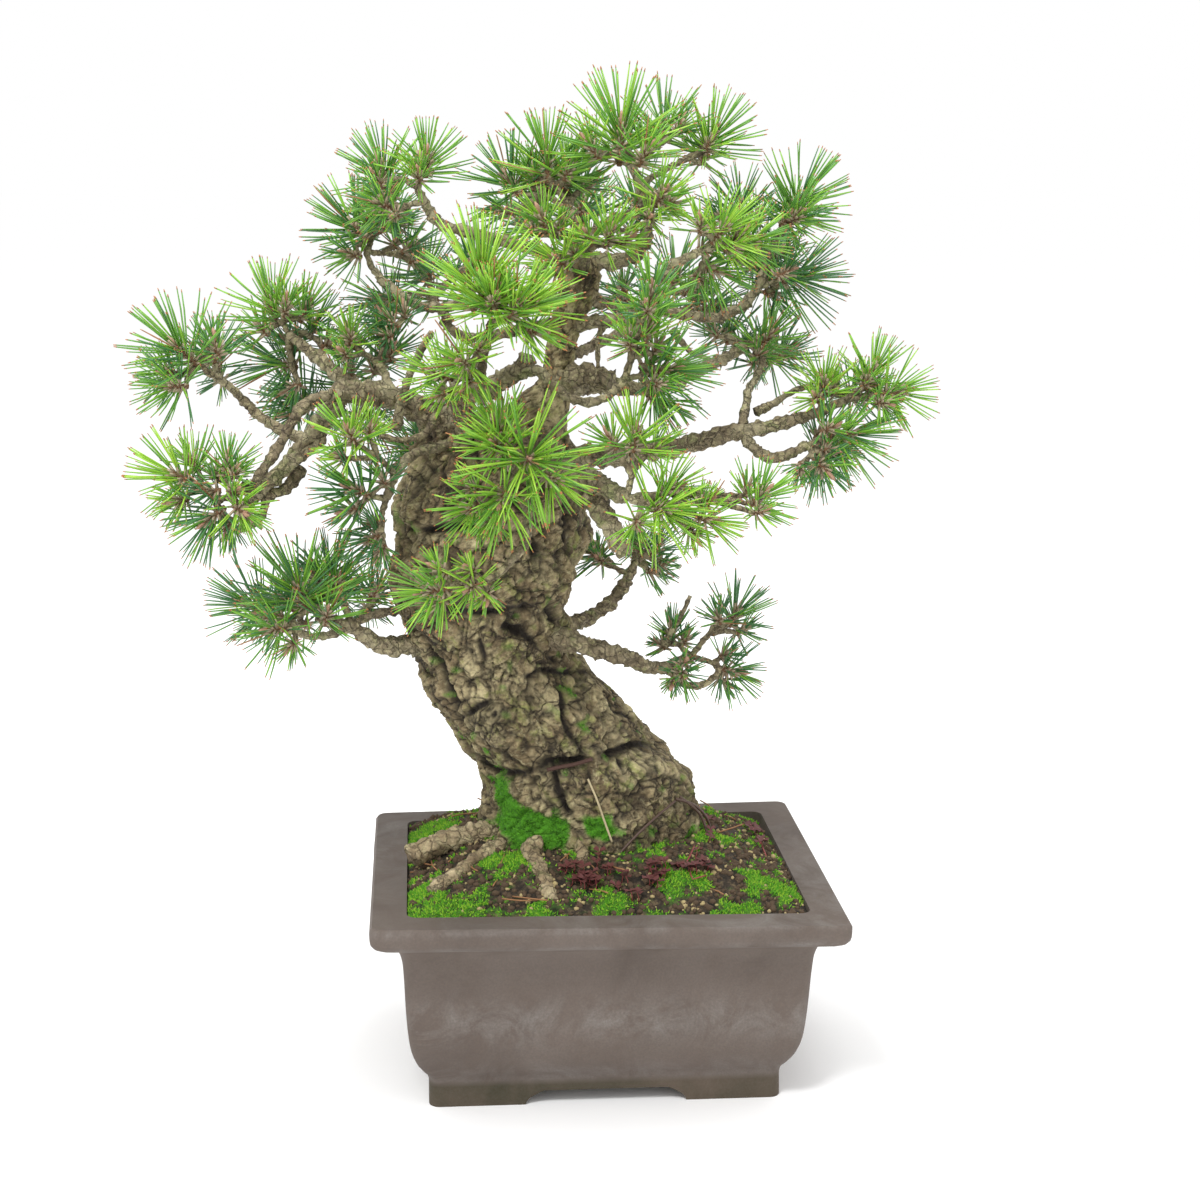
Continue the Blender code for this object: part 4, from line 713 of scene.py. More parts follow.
def mix_node(tree, share, first, second, blend="MIX"):
    """Two colours mixed; the share of the second is a number or the output of a node."""
    node = tree.nodes.new("ShaderNodeMix")
    node.data_type = "RGBA"
    node.blend_type = blend
    if isinstance(share, float):
        node.inputs["Factor"].default_value = share
    else:
        tree.links.new(share, node.inputs["Factor"])
    tree.links.new(first, node.inputs[6])
    tree.links.new(second, node.inputs[7])
    return node.outputs[2]


def range_node(tree, value, low, high, to_low, to_high):
    node = tree.nodes.new("ShaderNodeMapRange")
    node.inputs["From Min"].default_value = low
    node.inputs["From Max"].default_value = high
    node.inputs["To Min"].default_value = to_low
    node.inputs["To Max"].default_value = to_high
    tree.links.new(value, node.inputs["Value"])
    return node.outputs["Result"]


def bump_on(tree, shader, height, strength, distance):
    node = tree.nodes.new("ShaderNodeBump")
    node.inputs["Strength"].default_value = strength
    node.inputs["Distance"].default_value = distance
    tree.links.new(height, node.inputs["Height"])
    tree.links.new(node.outputs["Normal"], shader.inputs["Normal"])


def crack_node(tree, place, scale, width):
    """1 in the cracks between warped cells and 0 on the plates."""
    warp = tree.nodes.new("ShaderNodeTexNoise")
    warp.inputs["Scale"].default_value = scale * 1.3
    warp.inputs["Detail"].default_value = 4.0
    tree.links.new(place, warp.inputs["Vector"])
    push = tree.nodes.new("ShaderNodeVectorMath")
    push.operation = "MULTIPLY_ADD"
    push.inputs[1].default_value = (1.3 / scale, 1.3 / scale, 0.9 / scale)
    tree.links.new(warp.outputs["Color"], push.inputs[0])
    tree.links.new(place, push.inputs[2])
    cells = tree.nodes.new("ShaderNodeTexVoronoi")
    cells.feature = "DISTANCE_TO_EDGE"
    cells.inputs["Scale"].default_value = scale
    tree.links.new(push.outputs["Vector"], cells.inputs["Vector"])
    return range_node(tree, cells.outputs["Distance"], 0.0, width, 1.0, 0.0)


def bark_relief(tree, shader, place, cracks):
    """Bumps of fine grain with the cracks sunk into them."""
    rough = noise_node(tree, place, 300, 9, 0.75, 0.4)
    bump_on(tree, shader, math_node(tree, "SUBTRACT", rough, cracks), 0.9, 0.0016)


def bark_browns(tree, place, grain, browns):
    """Dark, middle and pale brown by broad noise, with a fine speckle."""
    broad = noise_node(tree, place, 38, 8, 0.62, 0.4)
    base = ramp_node(tree, broad, tuple(zip((0.30, 0.47, 0.66), browns)))
    return mix_node(tree, 0.75, base, ramp_node(tree, grain, BARK_SPECKLE), "MULTIPLY")


def lichen_on(tree, place, grain, base, lichen, starts_at):
    """Lichen in patches where their noise is above the start."""
    patches = noise_node(tree, place, 62, 9, 0.7, 0.9)
    share = range_node(tree, patches, starts_at, starts_at + 0.10, 0, 0.85)
    colour = ramp_node(tree, grain, ((0.3, tuple(c * 0.6 for c in lichen)), (0.7, lichen)))
    return mix_node(tree, share, base, colour)


def crust_on(tree, place, grain, base):
    """Pale flakes of crust."""
    share = range_node(tree, noise_node(tree, place, 130, 10, 0.78, 0.6), 0.52, 0.60, 0, 0.72)
    return mix_node(tree, share, base, ramp_node(tree, grain, BARK_CRUST))


def cracks_on(tree, place, grain, base, cracks, most):
    """Dark cracks, weaker where the bark is worn."""
    worn = range_node(tree, noise_node(tree, place, 45, 4, 0.6), 0.40, 0.56, 0.1, 1.0)
    share = math_node(tree, "MULTIPLY", range_node(tree, cracks, 0.25, 0.95, 0, most), worn)
    return mix_node(tree, share, base, ramp_node(tree, grain, BARK_CRACK))


def bark_material(name, browns, lichen, lichen_from, crack_scale, crack_share):
    """Bark: browns, lichen, crust and cracks by noise, then near-black painted shade in cracks, creases and
    hollows, and moss, where the mesh says.
    """
    material, tree, shader = new_material(name, browns[1], 0.9)
    place = texture_place(tree)
    cracks = crack_node(tree, place, crack_scale, 0.10)
    grain = noise_node(tree, place, 310, 5, 0.7)
    base = bark_browns(tree, place, grain, browns)
    base = lichen_on(tree, place, grain, base, lichen, lichen_from)
    base = crust_on(tree, place, grain, base)
    base = cracks_on(tree, place, grain, base, cracks, crack_share)
    # Painted shade: near black in cracks, creases and hollows, as the mesh's value says.
    base = mix_node(tree, mesh_value(tree, "crack_and_shade"), base, ramp_node(tree, grain, BARK_CREVICE_SHADE))
    base = mix_node(tree, mesh_value(tree, "moss"), base, ramp_node(tree, grain, BARK_MOSS))
    tree.links.new(base, shader.inputs["Base Color"])
    tree.links.new(range_node(tree, grain, 0.2, 0.8, 0.98, 0.75), shader.inputs["Roughness"])
    bark_relief(tree, shader, place, cracks)
    return material


def plain_material(name, colour, roughness, grain_scale=900.0):
    """One plain colour with fine grain in its gloss and surface."""
    material, tree, shader = new_material(name, colour, roughness)
    place = texture_place(tree)
    grain = noise_node(tree, place, grain_scale, 3)
    gloss = range_node(tree, grain, 0.3, 0.7, roughness - 0.08, roughness + 0.08)
    tree.links.new(gloss, shader.inputs["Roughness"])
    bump_on(tree, shader, grain, 0.15, 0.0002)
    return material


def clay_material():
    """Unglazed grey-brown clay with lime bloom in streaks and damp, darker feet."""
    material, tree, shader = new_material("clay", (0.185, 0.145, 0.122), 0.8)
    place = texture_place(tree)
    cloud = noise_node(tree, place, 14, 6, 0.6, 0.6)
    base = ramp_node(tree, cloud, CLAY_CLOUD)
    fine = noise_node(tree, place, 700, 3)
    base = mix_node(tree, 0.7, base, ramp_node(tree, fine, CLAY_SPECKLE), "MULTIPLY")
    streaks = range_node(tree, noise_node(tree, place, 26, 9, 0.72, 1.2), 0.40, 0.70, 0.0, 0.55)
    bloom = math_node(tree, "MULTIPLY", mesh_value(tree, "bloom"), streaks)
    base = mix_node(tree, bloom, base, ramp_node(tree, fine, CLAY_BLOOM))
    base = mix_node(tree, mesh_value(tree, "damp"), base, ramp_node(tree, cloud, CLAY_DAMP))
    tree.links.new(base, shader.inputs["Base Color"])
    tree.links.new(range_node(tree, fine, 0.3, 0.7, 0.66, 0.88), shader.inputs["Roughness"])
    bump_on(tree, shader, fine, 0.25, 0.0003)
    return material


def earth_material():
    """Dark damp earth, green where the mesh says there is moss."""
    material, tree, shader = new_material("earth", (0.06, 0.045, 0.03), 0.95)
    place = texture_place(tree)
    broad = noise_node(tree, place, 120, 8, 0.7)
    base = ramp_node(tree, broad, EARTH_BROWNS)
    base = mix_node(tree, mesh_value(tree, "moss"), base, ramp_node(tree, broad, EARTH_MOSS))
    tree.links.new(base, shader.inputs["Base Color"])
    tree.links.new(range_node(tree, broad, 0.3, 0.7, 0.98, 0.80), shader.inputs["Roughness"])
    bump_on(tree, shader, noise_node(tree, place, 500, 6, 0.7), 0.8, 0.001)
    return material


BARK = bark_material(
    "bark",
    browns=((0.070, 0.045, 0.023), (0.265, 0.200, 0.105), (0.560, 0.475, 0.270)),
    lichen=(0.400, 0.410, 0.130),
    lichen_from=0.53,
    crack_scale=62,
    crack_share=0.9,
)
BOUGH_BARK = bark_material(
    "bough_bark",
    browns=((0.110, 0.080, 0.048), (0.260, 0.210, 0.130), (0.460, 0.410, 0.265)),
    lichen=(0.330, 0.345, 0.150),
    lichen_from=0.53,
    crack_scale=150,
    crack_share=0.55,
)
ROOT_BARK = bark_material(
    "root_bark",
    browns=((0.120, 0.080, 0.044), (0.330, 0.250, 0.145), (0.580, 0.480, 0.300)),
    lichen=(0.280, 0.290, 0.110),
    lichen_from=0.60,
    crack_scale=120,
    crack_share=0.6,
)
SHOOT_BARK = plain_material("shoot_bark", (0.175, 0.092, 0.045), 0.8)
SHEATH = plain_material("sheath", (0.42, 0.33, 0.23), 0.7)
BUD = plain_material("bud", (0.44, 0.25, 0.17), 0.65)
CUT_TIP = plain_material("cut_tip", (0.46, 0.20, 0.075), 0.7)
DRY = plain_material("dry_needle", (0.33, 0.16, 0.07), 0.7)
# Lit and shaded copies of one needle green: lime and bright are painted light, dark is painted shade.
NEEDLE_COLOURS = {
    "needle_lit_lime": plain_material("needle_lit_lime", (0.360, 0.620, 0.060), 0.36),
    "needle_lit_bright": plain_material("needle_lit_bright", (0.225, 0.480, 0.042), 0.36),
    "needle_mid": plain_material("needle_mid", (0.125, 0.330, 0.040), 0.36),
    "needle_shaded_dark": plain_material("needle_shaded_dark", (0.062, 0.200, 0.060), 0.40),
}
MOSS = plain_material("moss", (0.085, 0.300, 0.008), 0.9)
MOSS_PALE = plain_material("moss_pale", (0.230, 0.450, 0.022), 0.9)
GRAIN_PALE = plain_material("grain_pale", (0.42, 0.33, 0.16), 0.95)
GRAIN_BROWN = plain_material("grain_brown", (0.085, 0.055, 0.032), 0.95)
STONE = plain_material("stone", (0.60, 0.50, 0.22), 0.9)
RED_LEAF = plain_material("red_leaf", (0.125, 0.036, 0.034), 0.6)
RED_STEM = plain_material("red_stem", (0.30, 0.060, 0.058), 0.55)
WIRE_COLOURS = {
    "wire": plain_material("wire", (0.085, 0.048, 0.034), 0.5),
    "stick": plain_material("stick", (0.075, 0.036, 0.026), 0.8),
    "straw": plain_material("straw", (0.50, 0.42, 0.25), 0.7),
}
# Grains of soil: name, material, count, smallest and largest size.
GRAINS = (
    ("grains_brown", GRAIN_BROWN, 2300, 0.9, 2.7),
    ("grains_pale", GRAIN_PALE, 700, 0.6, 2.0),
)


# Pot


def rounded_rectangle(half_x, half_y, radius, corner_steps, side_steps):
    ring = []
    corners = ((1, 1, 0), (-1, 1, 90), (-1, -1, 180), (1, -1, 270))
    for sign_x, sign_y, start in corners:
        middle = Vector((sign_x * (half_x - radius), sign_y * (half_y - radius)))
        arc = []
        for step in range(corner_steps + 1):
            angle = math.radians(start + 90 * step / corner_steps)
            arc.append(middle + Vector((math.cos(angle), math.sin(angle))) * radius)
        if ring:
            last = ring[-1]
            ring += [last.lerp(arc[0], step / side_steps) for step in range(1, side_steps)]
        ring += arc
    last = ring[-1]
    ring += [last.lerp(ring[0], step / side_steps) for step in range(1, side_steps)]
    return ring


def twisted(x, y, z):
    """The place with the rim's warp: two corners a little high and two low."""
    share = min(max((z - RIM_TWIST_FROM) / (POT_HEIGHT - RIM_TWIST_FROM), 0), 1)
    return Vector((x, y, z + RIM_TWIST * share * (x * 2 / POT_WIDTH) * (y * 2 / POT_DEPTH)))


def fine_profile(profile):
    """The profile with more steps, rounded through its corners."""
    route = smooth_route([(inset, height, 0) for inset, height in profile], PROFILE_STEP)
    return [(p.x, p.y) for p in route]


def pot_ring(inset, height, corner_steps, side_steps):
    """A ring of points that lies this far inside the pot's largest outline."""
    half_x, half_y = POT_WIDTH / 2 - inset, POT_DEPTH / 2 - inset
    ring = rounded_rectangle(half_x, half_y, CORNER_RADIUS, corner_steps, side_steps)
    return [twisted(p.x, p.y, height) for p in ring]


def arch_cutter():
    """The room under the pot between its bracket feet."""
    inner_x = POT_WIDTH / 2 - FOOT_INSET - BRACKET_WIDTH
    inner_y = POT_DEPTH / 2 - FOOT_INSET - BRACKET_WIDTH
    rings = []
    for share in ARCH_LEVELS:
        curve = max(share, 0) ** 2
        front = FRONT_ARCH_HALF[0] + (FRONT_ARCH_HALF[1] - FRONT_ARCH_HALF[0]) * curve
        side = SIDE_ARCH_HALF[0] + (SIDE_ARCH_HALF[1] - SIDE_ARCH_HALF[0]) * curve
        quarter = [(POT_WIDTH / 2, side), (inner_x, side), (inner_x, inner_y), (front, inner_y)]
        quarter.append((front, POT_DEPTH / 2))
        outline = []
        for sign_x, sign_y in ((1, 1), (-1, 1), (-1, -1), (1, -1)):
            outline += [(x * sign_x, y * sign_y) for x, y in quarter]
            quarter.reverse()
        rings.append([Vector((x, y, FOOT_HEIGHT * share)) for x, y in outline])
    return rings


def solid_from(rings, name):
    """A closed solid in metres over rings of points, not linked to the plant."""
    bm = bmesh.new()
    loops = [[bm.verts.new(p * MM + Vector(ORIGIN)) for p in ring] for ring in rings]
    for lower, upper in zip(loops, loops[1:]):
        for side in range(len(lower)):
            after = (side + 1) % len(lower)
            bm.faces.new((lower[side], lower[after], upper[after], upper[side]))
    bm.faces.new(list(reversed(loops[0])))
    bm.faces.new(loops[-1])
    bmesh.ops.recalc_face_normals(bm, faces=bm.faces)
    mesh = bpy.data.meshes.new(name)
    bm.to_mesh(mesh)
    bm.free()
    obj = bpy.data.objects.new(name, mesh)
    bpy.context.scene.collection.objects.link(obj)
    return obj


def drain_rings(x):
    """The two ends of the cutter for the drain hole at this x."""
    turns = [math.tau * side / DRAIN_SIDES for side in range(DRAIN_SIDES)]
    ring = [Vector((x + DRAIN_RADIUS * math.cos(turn), DRAIN_RADIUS * math.sin(turn), 0)) for turn in turns]
    return [[p + Vector((0, 0, height)) for p in ring] for height in DRAIN_ENDS]


def cut_away(obj, cutters):
    """Takes the cutters out of the object and removes them."""
    for cutter in cutters:
        modifier = obj.modifiers.new("cut", "BOOLEAN")
        modifier.operation = "DIFFERENCE"
        modifier.object = cutter
    graph = bpy.context.evaluated_depsgraph_get()
    mesh = bpy.data.meshes.new_from_object(obj.evaluated_get(graph))
    obj.modifiers.clear()
    obj.data = mesh
    for cutter in cutters:
        bpy.data.objects.remove(cutter, do_unlink=True)


def waver_walls(mesh):
    """Makes the walls a little uneven, and gives the height of each point."""
    co = np.empty(len(mesh.vertices) * 3, np.float32)
    mesh.vertices.foreach_get("co", co)
    local = (co.reshape(-1, 3) - ORIGIN) / MM
    for point in local:
        if WAVER_HEIGHTS[0] < point[2] < WAVER_HEIGHTS[1]:
            point[:2] *= 1 + WAVER_SHARE * noise.noise(Vector(point) / WAVER_SIZE)
    mesh.vertices.foreach_set("co", (local * MM + ORIGIN).astype(np.float32).ravel())
    return local[:, 2]


def stain(mesh, height):
    """Lime bloom at the lip's edges and in two bands on the walls, and damp low on the feet."""
    lip, under_lip, wall, foot = (np.exp(-(((height - at) / spread) ** 2)) for at, spread in BLOOM_BANDS)
    bloom = 0.9 * wall + 0.55 * foot + 0.7 * np.maximum(lip, under_lip) + 0.12
    give_values(mesh, "bloom", np.clip(bloom, 0, 1))
    give_values(mesh, "damp", np.clip((DAMP_TOP - height) / DAMP_FADE, 0, 1))


def make_pot():
    """The pot with a finer skin than the solid's, the same feet and the same drain holes."""
    profile = fine_profile(OUTER_PROFILE) + fine_profile(INNER_PROFILE)
    profile.append((FLOOR_EDGE_INSET, FOOT_HEIGHT + FLOOR_THICKNESS))
    pot = solid_from([pot_ring(inset, height, *POT_STEPS) for inset, height in profile], "pot_body")
    cutters = [solid_from(arch_cutter(), "arch_cutter")]
    cutters += [solid_from(drain_rings(x), "drain_cutter") for x in DRAIN_PLACES]
    cut_away(pot, cutters)
    mesh = pot.data
    stain(mesh, waver_walls(mesh))
    mesh.materials.clear()
    mesh.materials.append(clay_material())
    mesh.set_sharp_from_angle(angle=math.radians(SHARP_ANGLE))
    bpy.context.scene.collection.objects.unlink(pot)
    link(pot, "clay", ["pot"])


# Soil


def cavity_inset(height):
    """How far the inside of the wall lies within the pot's largest outline at this height."""
    for (upper_inset, upper), (lower_inset, lower) in zip(INNER_PROFILE, INNER_PROFILE[1:]):
        if height >= lower:
            share = (upper - height) / (upper - lower)
            return upper_inset + (lower_inset - upper_inset) * share
    return INNER_PROFILE[-1][0]


def soil_edge_height(x, y):
    """Height of the soil at the pot's wall; it lies lower at the right back corner."""
    right = max(x * 2 / POT_WIDTH, 0)
    back = max(y * 2 / POT_DEPTH, 0)
    return RIM_SOIL - RIGHT_BACK_DROP * right * back


MOSS_SPOTS = [(at_height(px, py, MOSS_SPOT_HEIGHT), radius * 0.85) for px, py, radius in MOSS_PATCHES]


def moss_at(points):
    """How mossy each place of the soil is, from the patches and from noise."""
    share = np.full(len(points), -0.35)
    for spot, radius in MOSS_SPOTS:
        distance = np.hypot(points[:, 0] - spot.x, points[:, 1] - spot.y)
        share = np.maximum(share, 1.1 - distance / radius)
    rough = noise_at(points, 9) + 0.6 * noise_at(points, 3.5)
    back = np.where(points[:, 1] > 45, 0.25, 0.0)
    return np.clip((share + back + rough * 1.15) * 2.2, 0, 1)


def soil_sides():
    """Rings of the soil inside the wall, from its bottom to a little below its top."""
    rings = [pot_ring(FLOOR_EDGE_INSET + SOIL_GAP, SOIL_BOTTOM, *SOIL_STEPS)]
    for height in SOIL_SIDE_HEIGHTS:
        rings.append(pot_ring(cavity_inset(height) + SOIL_GAP, height, *SOIL_STEPS))
    return rings


def soil_edge():
    """The ring where the soil's top meets the wall."""
    level = 120
    half_x = POT_WIDTH / 2 - cavity_inset(level) - SOIL_GAP
    half_y = POT_DEPTH / 2 - cavity_inset(level) - SOIL_GAP
    edge = []
    for p in pot_ring(cavity_inset(level) + SOIL_GAP, level, *SOIL_STEPS):
        height = soil_edge_height(p.x, p.y)
        inset = cavity_inset(height) + SOIL_GAP
        scale_x = (POT_WIDTH / 2 - inset) / half_x
        scale_y = (POT_DEPTH / 2 - inset) / half_y
        edge.append(twisted(p.x * scale_x, p.y * scale_y, height))
    return edge


def mound_rings(edge):
    """Rings from the soil's edge over the mound's brow to a line under the trunk's foot."""
    _, foot_x, foot_y, foot_half = TRUNK_LEVELS[0]
    reach_x = foot_half - 14
    reach_y = foot_half * DEPTH_RATIO - 12
    wide_x = foot_half + MOUND_MARGIN + MOUND_SPREAD
    wide_y = foot_half * DEPTH_RATIO + MOUND_MARGIN + MOUND_SPREAD
    rings = []
    for step in range(MOUND_RINGS):
        share = step / (MOUND_RINGS - 1)
        ring = []
        for p in edge:
            angle = math.atan2((p.y - foot_y) / wide_y, (p.x - foot_x) / wide_x)
            foot = Vector((foot_x + math.cos(angle) * reach_x, foot_y + math.sin(angle) * reach_y, MOUND_TOP))
            brow = Vector((foot_x + math.cos(angle) * wide_x, foot_y + math.sin(angle) * wide_y, MOUND_TOP))
            place = p.lerp(foot, share)
            full = max((brow - p).length, 1)
            rise = 1 - max(1 - (place - p).length / full, 0) ** 1.3
            place.z = p.z + (MOUND_TOP - p.z) * rise
            ring.append(place)
        rings.append(ring)
    return rings


def make_soil():
    """The soil as a fine mesh; gives its points, the faces of its top and how mossy each point is."""
    below = soil_sides()
    edge = soil_edge()
    sides = len(edge)
    rings = below + mound_rings(edge)
    points = np.array([p for ring in rings for p in ring])
    top_start = len(below) * sides
    top = points[top_start:]
    moss = moss_at(top)
    lumps = 1.3 * noise_at(top, 13) + 0.9 * noise_at(top, 5) + 0.5 * noise_at(top, 2)
    fade = np.clip(np.repeat(np.arange(MOUND_RINGS), sides) / 3, 0.25, 1)
    top[:, 2] += (lumps + moss * 1.6) * fade
    faces = ring_faces(len(rings), sides)
    all_moss = np.concatenate([np.zeros(top_start), moss])
    piece("soil_bed", points, faces, earth_material(), "soil", ["soil"], values={"moss": all_moss})
    top_faces = faces[(faces.min(1) >= top_start) & (faces.max(1) - faces.min(1) < sides * 3)]
    return points, top_faces, all_moss


def scatter_on(points, faces, weights, count, rng):
    """Random places and normals on a mesh, more of them where the weights are high."""
    corners = points[faces]
    normals = np.cross(corners[:, 1] - corners[:, 0], corners[:, 2] - corners[:, 0])
    areas = np.linalg.norm(normals, axis=1)
    chance = areas * weights[faces].mean(1)
    chosen = rng.choice(len(faces), count, p=chance / chance.sum())
    a, b = rng.random(count), rng.random(count)
    flip = a + b > 1
    a[flip], b[flip] = 1 - a[flip], 1 - b[flip]
    first, second, third = (corners[chosen, corner] for corner in range(3))
    places = first + (second - first) * a[:, None] + (third - first) * b[:, None]
    outward = normals[chosen] / np.maximum(areas[chosen], 1e-9)[:, None]
    if outward[:, 2].mean() > 0.3:
        outward *= np.sign(outward[:, 2:3] + 1e-9)
    return places, outward


def spikes(places, normals, lengths, widths, lean, rng):
    """Small three-sided spikes that stand on the places."""
    count = len(places)
    heading = unit(normals + rng.normal(0, lean, (count, 3)))
    across = unit(np.cross(heading, rng.normal(0, 1, (count, 3))))
    other = np.cross(heading, across)
    corners = [places + spoke(across, other, math.tau * turn / 3) * widths[:, None] for turn in range(3)]
    corners.append(places + heading * lengths[:, None])
    points = np.stack(corners, 1).reshape(-1, 3)
    base = np.arange(count)[:, None] * 4
    faces = np.concatenate([base + [0, 1, 3], base + [1, 2, 3], base + [2, 0, 3]])
    return points, faces


def ball(radius):
    """The points and faces of a small ball with 20 faces."""
    bm = bmesh.new()
    bmesh.ops.create_icosphere(bm, subdivisions=1, radius=radius)
    points = np.array([v.co for v in bm.verts])
    faces = np.array([[v.index for v in f.verts] for f in bm.faces])
    bm.free()
    return points, faces


def pebbles(places, sizes, rng):
    """Uneven small stones half sunk at the places."""
    points, faces = ball(1.0)
    count = len(places)
    stretch = rng.uniform(0.7, 1.25, (count, 1, 3)) * sizes[:, None, None]
    jitter = rng.uniform(0.82, 1.15, (count, len(points), 1))
    all_points = (points[None] * stretch * jitter + places[:, None]).reshape(-1, 3)
    return all_points, repeated(faces, count, len(points))


def surface_height(points, x, y):
    """Height of the nearest point of the soil's top."""
    near = np.argmin((points[:, 0] - x) ** 2 + (points[:, 1] - y) ** 2 - points[:, 2] * 0.001)
    return float(points[near, 2])


def on_soil(points, px, py):
    """Where the pixel's line meets the soil."""
    height = 142.0
    for _ in range(4):
        place = at_height(px, py, height)
        place.x = min(max(place.x, -SOIL_HALF[0]), SOIL_HALF[0])
        place.y = min(max(place.y, -SOIL_HALF[1]), SOIL_HALF[1])
        height = surface_height(points, place.x, place.y)
    return Vector((place.x, place.y, height))


def leaflet(centre, outward, size, tilt):
    """One heart-shaped leaflet as two folded halves."""
    side = Vector((-outward.y, outward.x, 0))
    up = Vector((0, 0, 1))

    def corner(along, aside, above):
        return centre + outward * size * along + side * size * aside + up * size * (tilt + above)

    tip = corner(1, 0, 0) * 0.92 + centre * 0.08
    left, low_left = corner(0.85, 0.52, 0.28), corner(0.35, 0.42, 0.12)
    right, low_right = corner(0.85, -0.52, 0.28), corner(0.35, -0.42, 0.12)
    points = [centre, low_left, left, tip, right, low_right]
    return np.array(points), np.array([[0, 1, 2], [0, 2, 3], [0, 3, 4], [0, 4, 5]])


def write_shape(shape, name, material, slot, smooth=True):
    """A piece from one set of points and faces."""
    batch = Batch()
    batch.add(*shape)
    batch.write(name, material, slot, smooth)


def make_moss(points, faces, moss, rng):
    """Short spikes in a deep and a pale green."""
    places, normals = scatter_on(points, faces, moss**2 + 0.001, MOSS_COUNT, rng)
    pale = rng.random(len(places)) < 0.42
    for name, chosen, material in (("moss_deep", ~pale, MOSS), ("moss_light", pale, MOSS_PALE)):
        count = int(chosen.sum())
        lengths = rng.uniform(1.2, 2.9, count)
        widths = rng.uniform(0.4, 0.75, count)
        shape = spikes(places[chosen], normals[chosen], lengths, widths, 0.45, rng)
        write_shape(shape, name, material, "soil")


def make_grains(points, faces, bare, rng):
    """Grains of soil where there is no moss."""
    for name, material, count, low, high in GRAINS:
        places, _ = scatter_on(points, faces, bare, count, rng)
        shape = pebbles(places, rng.uniform(low, high, count), rng)
        write_shape(shape, name, material, "soil", smooth=False)


def make_stone(points):
    """The yellow stone at the trunk's foot."""
    ball_points, faces = ball(1.0)
    swell = np.array([1 + 0.25 * noise.noise(Vector(p) * 2.1) for p in ball_points])[:, None]
    place = np.array(on_soil(points, *YELLOW_STONE) + Vector((0, 0, 2.5)))
    write_shape((ball_points * swell * YELLOW_STONE_SIZE + place, faces), "yellow_stone", STONE, "soil")


def ground_cover(points, faces, moss):
    """Moss, grains, a stone, litter and leaves on the soil."""
    rng = np.random.default_rng(SEED)
    make_moss(points, faces, moss, rng)
    bare = np.clip(1 - moss * 1.2, 0, 1) + 0.03
    make_grains(points, faces, bare, rng)
    make_stone(points)
    make_litter(points, faces, bare, rng)
    make_red_leaves(points, rng)


def make_wires(trunk_points):
    """Wires, a stick and a straw, laid just before the trunk where their line meets it."""
    eye = np.array(EYE)
    for number, (radius, colour, places) in enumerate(WIRES):
        route = []
        for px, py, height in places:
            line = sight_line(px, py).normalized()
            offsets = trunk_points - eye
            along = offsets @ np.array(line)
            aside = np.linalg.norm(offsets - along[:, None] * np.array(line), axis=1)
            before_trunk = along[aside < WIRE_SIGHT].min(initial=1e9) - radius - WIRE_GAP
            reach = min((at_height(px, py, height) - EYE).length, before_trunk)
            route.append(EYE + line * reach)
        route = smooth_route(route, 2.0)
        batch = Batch()
        rough_tube(batch, route, [radius] * len(route), WIRE_SKIN)
        batch.write(f"{colour}_{number}", WIRE_COLOURS[colour])


def make_litter(points, faces, bare, rng):
    """Dry needles that lie on the soil."""
    batch = Batch()
    places, _ = scatter_on(points, faces, bare, LITTER_COUNT, rng)
    for place in places:
        angle = rng.uniform(0, math.tau)
        along = Vector((math.cos(angle), math.sin(angle), rng.uniform(-0.05, 0.22)))
        start = Vector(place) + Vector((0, 0, 1.2))
        length = rng.uniform(8, 26)
        bend = Vector((-along.y, along.x, 0)) * length * rng.uniform(-0.12, 0.12)
        route = [start, start + along * length * 0.5 + bend, start + along * length]
        if max(abs(route[-1].x) / LITTER_HALF[0], abs(route[-1].y) / LITTER_HALF[1]) > 1:
            continue
        route = smooth_route(route, 4.0)
        rough_tube(batch, route, [0.5] * len(route), STALK_SKIN)
    batch.write("litter", DRY, "soil")


def make_red_leaves(points, rng):
    """Small dark red sorrel leaves in threes, on thin stems."""
    leaves, stems = Batch(), Batch()
    for px, py in LEAF_CLUSTERS:
        for _ in range(3):
            ground = on_soil(points, px + rng.uniform(-14, 14), py + rng.uniform(-9, 9))
            head = ground + Vector((rng.uniform(-2, 2), rng.uniform(-2, 2), rng.uniform(3, 8)))
            stem = [ground, (ground + head) / 2 + Vector((0.6, 0, 0)), head]
            rough_tube(stems, stem, [0.35, 0.3, 0.3], STALK_SKIN)
            turn = rng.uniform(0, math.tau)
            size = rng.uniform(3.6, 6.0)
            for third in range(3):
                angle = turn + math.tau * third / 3
                outward = Vector((math.cos(angle), math.sin(angle), 0))
                leaves.add(*leaflet(head, outward, size, rng.uniform(-0.2, 0.35)))
    for places in LEAF_STEMS:
        route = smooth_route([on_soil(points, px, py) + Vector((0, 0, 2.2)) for px, py in places], 3.0)
        rough_tube(stems, route, [0.5] * len(route), RUNNER_SKIN)
    leaves.write("sorrel_leaves", RED_LEAF, smooth=False)
    stems.write("sorrel_stems", RED_STEM)


# Trunk


def trunk_middles(heights):
    levels = np.array(TRUNK_LEVELS, float)
    return [np.interp(heights, levels[:, 0], levels[:, column]) for column in (1, 2, 3)]


def on_trunk(px, py):
    """Where the pixel's line meets the front of the trunk."""
    depth = -20.0
    for _ in range(6):
        place = at_depth(px, py, depth)
        x, y, half = (float(v) for v in trunk_middles(place.z))
        inside = max(1 - ((place.x - x) / (half + 2)) ** 2, 0.0)
        depth = y - half * DEPTH_RATIO * math.sqrt(inside)
    return np.array(at_depth(px, py, depth))


def distance_to_route(points, route):
    """Distance of each point to the nearest stretch of a route."""
    nearest = np.full(len(points), 1e9)
    for start, end in zip(route, route[1:]):
        along = end - start
        t = np.clip((points - start) @ along / (along @ along), 0, 1)
        nearest = np.minimum(nearest, np.linalg.norm(points - start - t[:, None] * along, axis=1))
    return nearest


